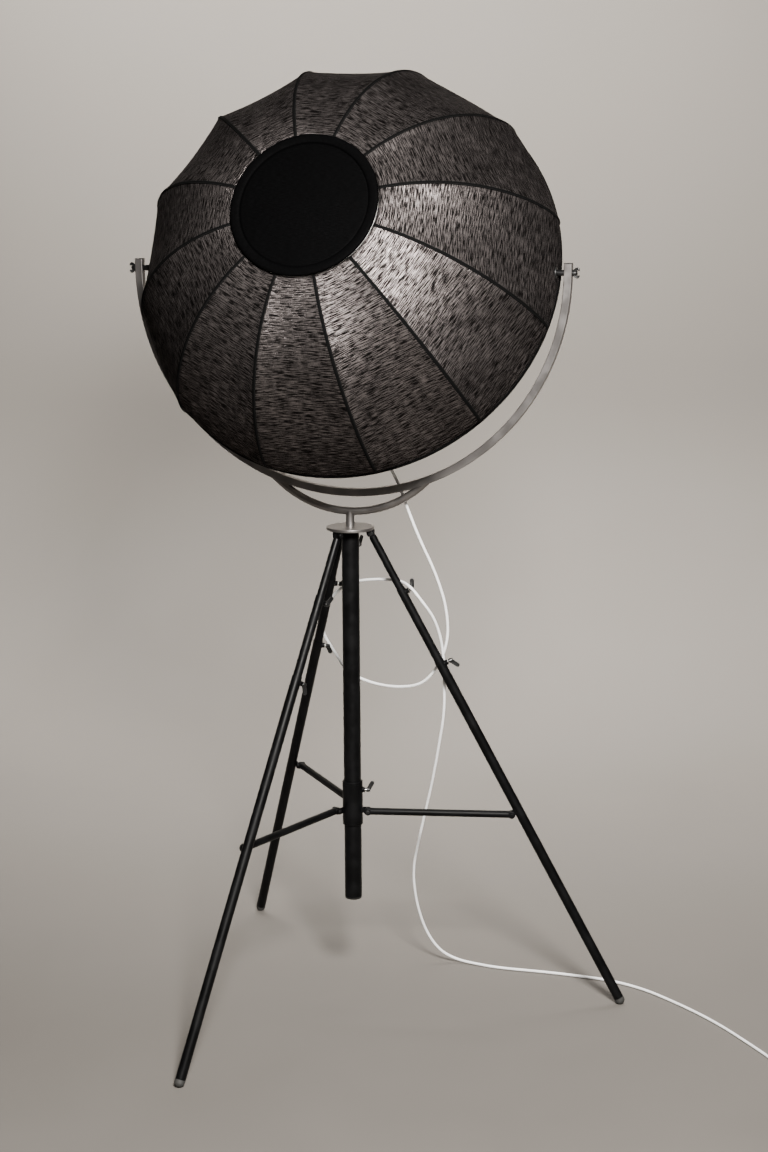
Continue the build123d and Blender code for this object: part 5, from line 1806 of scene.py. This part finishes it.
@dataclass
class Studio:
    """Pale sweep under and behind the lamp, and soft lights."""

    places: Places
    finishes: Finishes
    azimuth: float = 16.708
    half_width: float = 3.6
    depth_front: float = 3.2
    wall: float = 2.6
    bend: float = 1.0
    height: float = 3.4
    surroundings: float = 0.035
    surroundings_colour: Sequence[float] = (1.0, 0.97, 0.94, 1.0)
    ground: Sequence[float] = (0.42, 0.4, 0.375, 1.0)
    lights: Sequence[SoftLight] = (
        SoftLight("key_light", (0.52, -3.15, 2.95), (0.0, 0.0, 1.49), (0.7, 0.7), 620.0),
        SoftLight("left_light", (-3.2, -1.6, 2.2), (0.0, 0.0, 1.0), (0.5, 2.2), 2.0),
        SoftLight("right_light", (3.0, -0.8, 2.4), (0.0, 0.0, 1.2), (0.7, 1.8), 4.0),
        SoftLight("wall_light", (0.0, 1.45, 3.6), (0.2, 2.5, 0.9), (3.4, 0.6), 210.0, 100.0),
    )

    def room(self) -> Matrix:
        """The studio's frame: the column's foot, turned square to the wall."""
        return self.places.column(0.0, self.azimuth)

    def build_sweep(self) -> None:
        """Floor that bends up into a wall."""
        shape = bmesh.new()
        bmesh.ops.create_grid(shape, x_segments=2, y_segments=80, size=1.0)
        flat = self.wall - self.bend
        arc = self.bend * pi / 2
        total = self.depth_front + flat + arc + self.height
        for vert in shape.verts:
            run = (vert.co.y + 1) / 2 * total - self.depth_front
            x = vert.co.x * self.half_width
            if run <= flat:
                vert.co = (x, run, 0)
            elif run <= flat + arc:
                angle = (run - flat) / self.bend
                vert.co = (x, flat + self.bend * sin(angle), self.bend * (1 - cos(angle)))
            else:
                vert.co = (x, self.wall, self.bend + run - flat - arc)
        put(shape, self.room())
        mesh = bpy.data.meshes.new("studio_sweep")
        shape.to_mesh(mesh)
        shape.free()
        paper = self.finishes[FinishName.STUDIO]
        self.open_behind(paper.node_tree)
        mesh.materials.append(paper)
        mesh.shade_smooth()
        sweep = bpy.data.objects.new("studio_sweep", mesh)
        bpy.context.scene.collection.objects.link(sweep)

    @staticmethod
    def open_behind(tree: bpy.types.NodeTree) -> None:
        """Let the sweep be looked through from behind.

        Args:
            tree: the sweep's node tree.
        """
        graph = Graph(tree)
        surface = tree.nodes["Principled BSDF"].outputs[0]
        behind = graph.add("NewGeometry").outputs["Backfacing"]
        clear = graph.add("BsdfTransparent").outputs[0]
        mixed = graph.add("MixShader", {0: behind, 1: surface, 2: clear}).outputs[0]
        tree.links.new(mixed, tree.nodes["Material Output"].inputs["Surface"])

    def build_surroundings(self) -> None:
        """Dim light from all round, with a pale ground past the sweep's edges."""
        world = bpy.data.worlds.new("studio")
        world.use_nodes = True
        graph = Graph(world.node_tree)
        dim = world.node_tree.nodes["Background"]
        dim.inputs[0].default_value = self.surroundings_colour
        dim.inputs[1].default_value = self.surroundings
        pale = graph.add("Background", {0: self.ground, 1: 1.0}).outputs[0]
        seen = graph.add("LightPath").outputs["Is Camera Ray"]
        mixed = graph.add("MixShader", {0: seen, 1: dim.outputs[0], 2: pale}).outputs[0]
        world.node_tree.links.new(mixed, world.node_tree.nodes["World Output"].inputs["Surface"])
        bpy.context.scene.world = world

    def light(self, plan: SoftLight) -> None:
        """Put up one soft light.

        Args:
            plan: where it hangs and how it shines.
        """
        data = bpy.data.lights.new(plan.name, "AREA")
        data.shape = "RECTANGLE"
        data.size, data.size_y = plan.size
        data.energy = plan.power
        data.color = plan.colour
        data.spread = radians(plan.spread)
        made = bpy.data.objects.new(plan.name, data)
        place, aim = self.room() @ Vector(plan.place), self.room() @ Vector(plan.aim)
        made.location = place
        made.rotation_mode = "QUATERNION"
        made.rotation_quaternion = (place - aim).to_track_quat("Z", "Y")
        bpy.context.scene.collection.objects.link(made)

    def build(self) -> None:
        """Sweep, surroundings and lights."""
        self.build_sweep()
        self.build_surroundings()
        for plan in self.lights:
            self.light(plan)


def main() -> None:
    """Build every piece in order."""
    logging.basicConfig(level=logging.INFO, format="%(name)s: %(message)s")
    places = Places()
    finishes = Finishes()
    bench = Bench(finishes)
    ViewCamera(places).build()
    MainsCord(places, bench).build()
    bowl = Bowl()
    ShadeCover(places, bench, bowl).build()
    HubTrim(places, bench, bowl).build()
    LampUnit(places, bench).build()
    screws = ThumbScrews(places, bench)
    screws.build()
    WingNuts(screws).build()
    FrameJoints(screws).build()
    CarriedNodes(finishes).build()
    Studio(places, finishes).build()
    LOG.info("%d pieces made", bench.count)


if __name__ == "__main__":
    main()
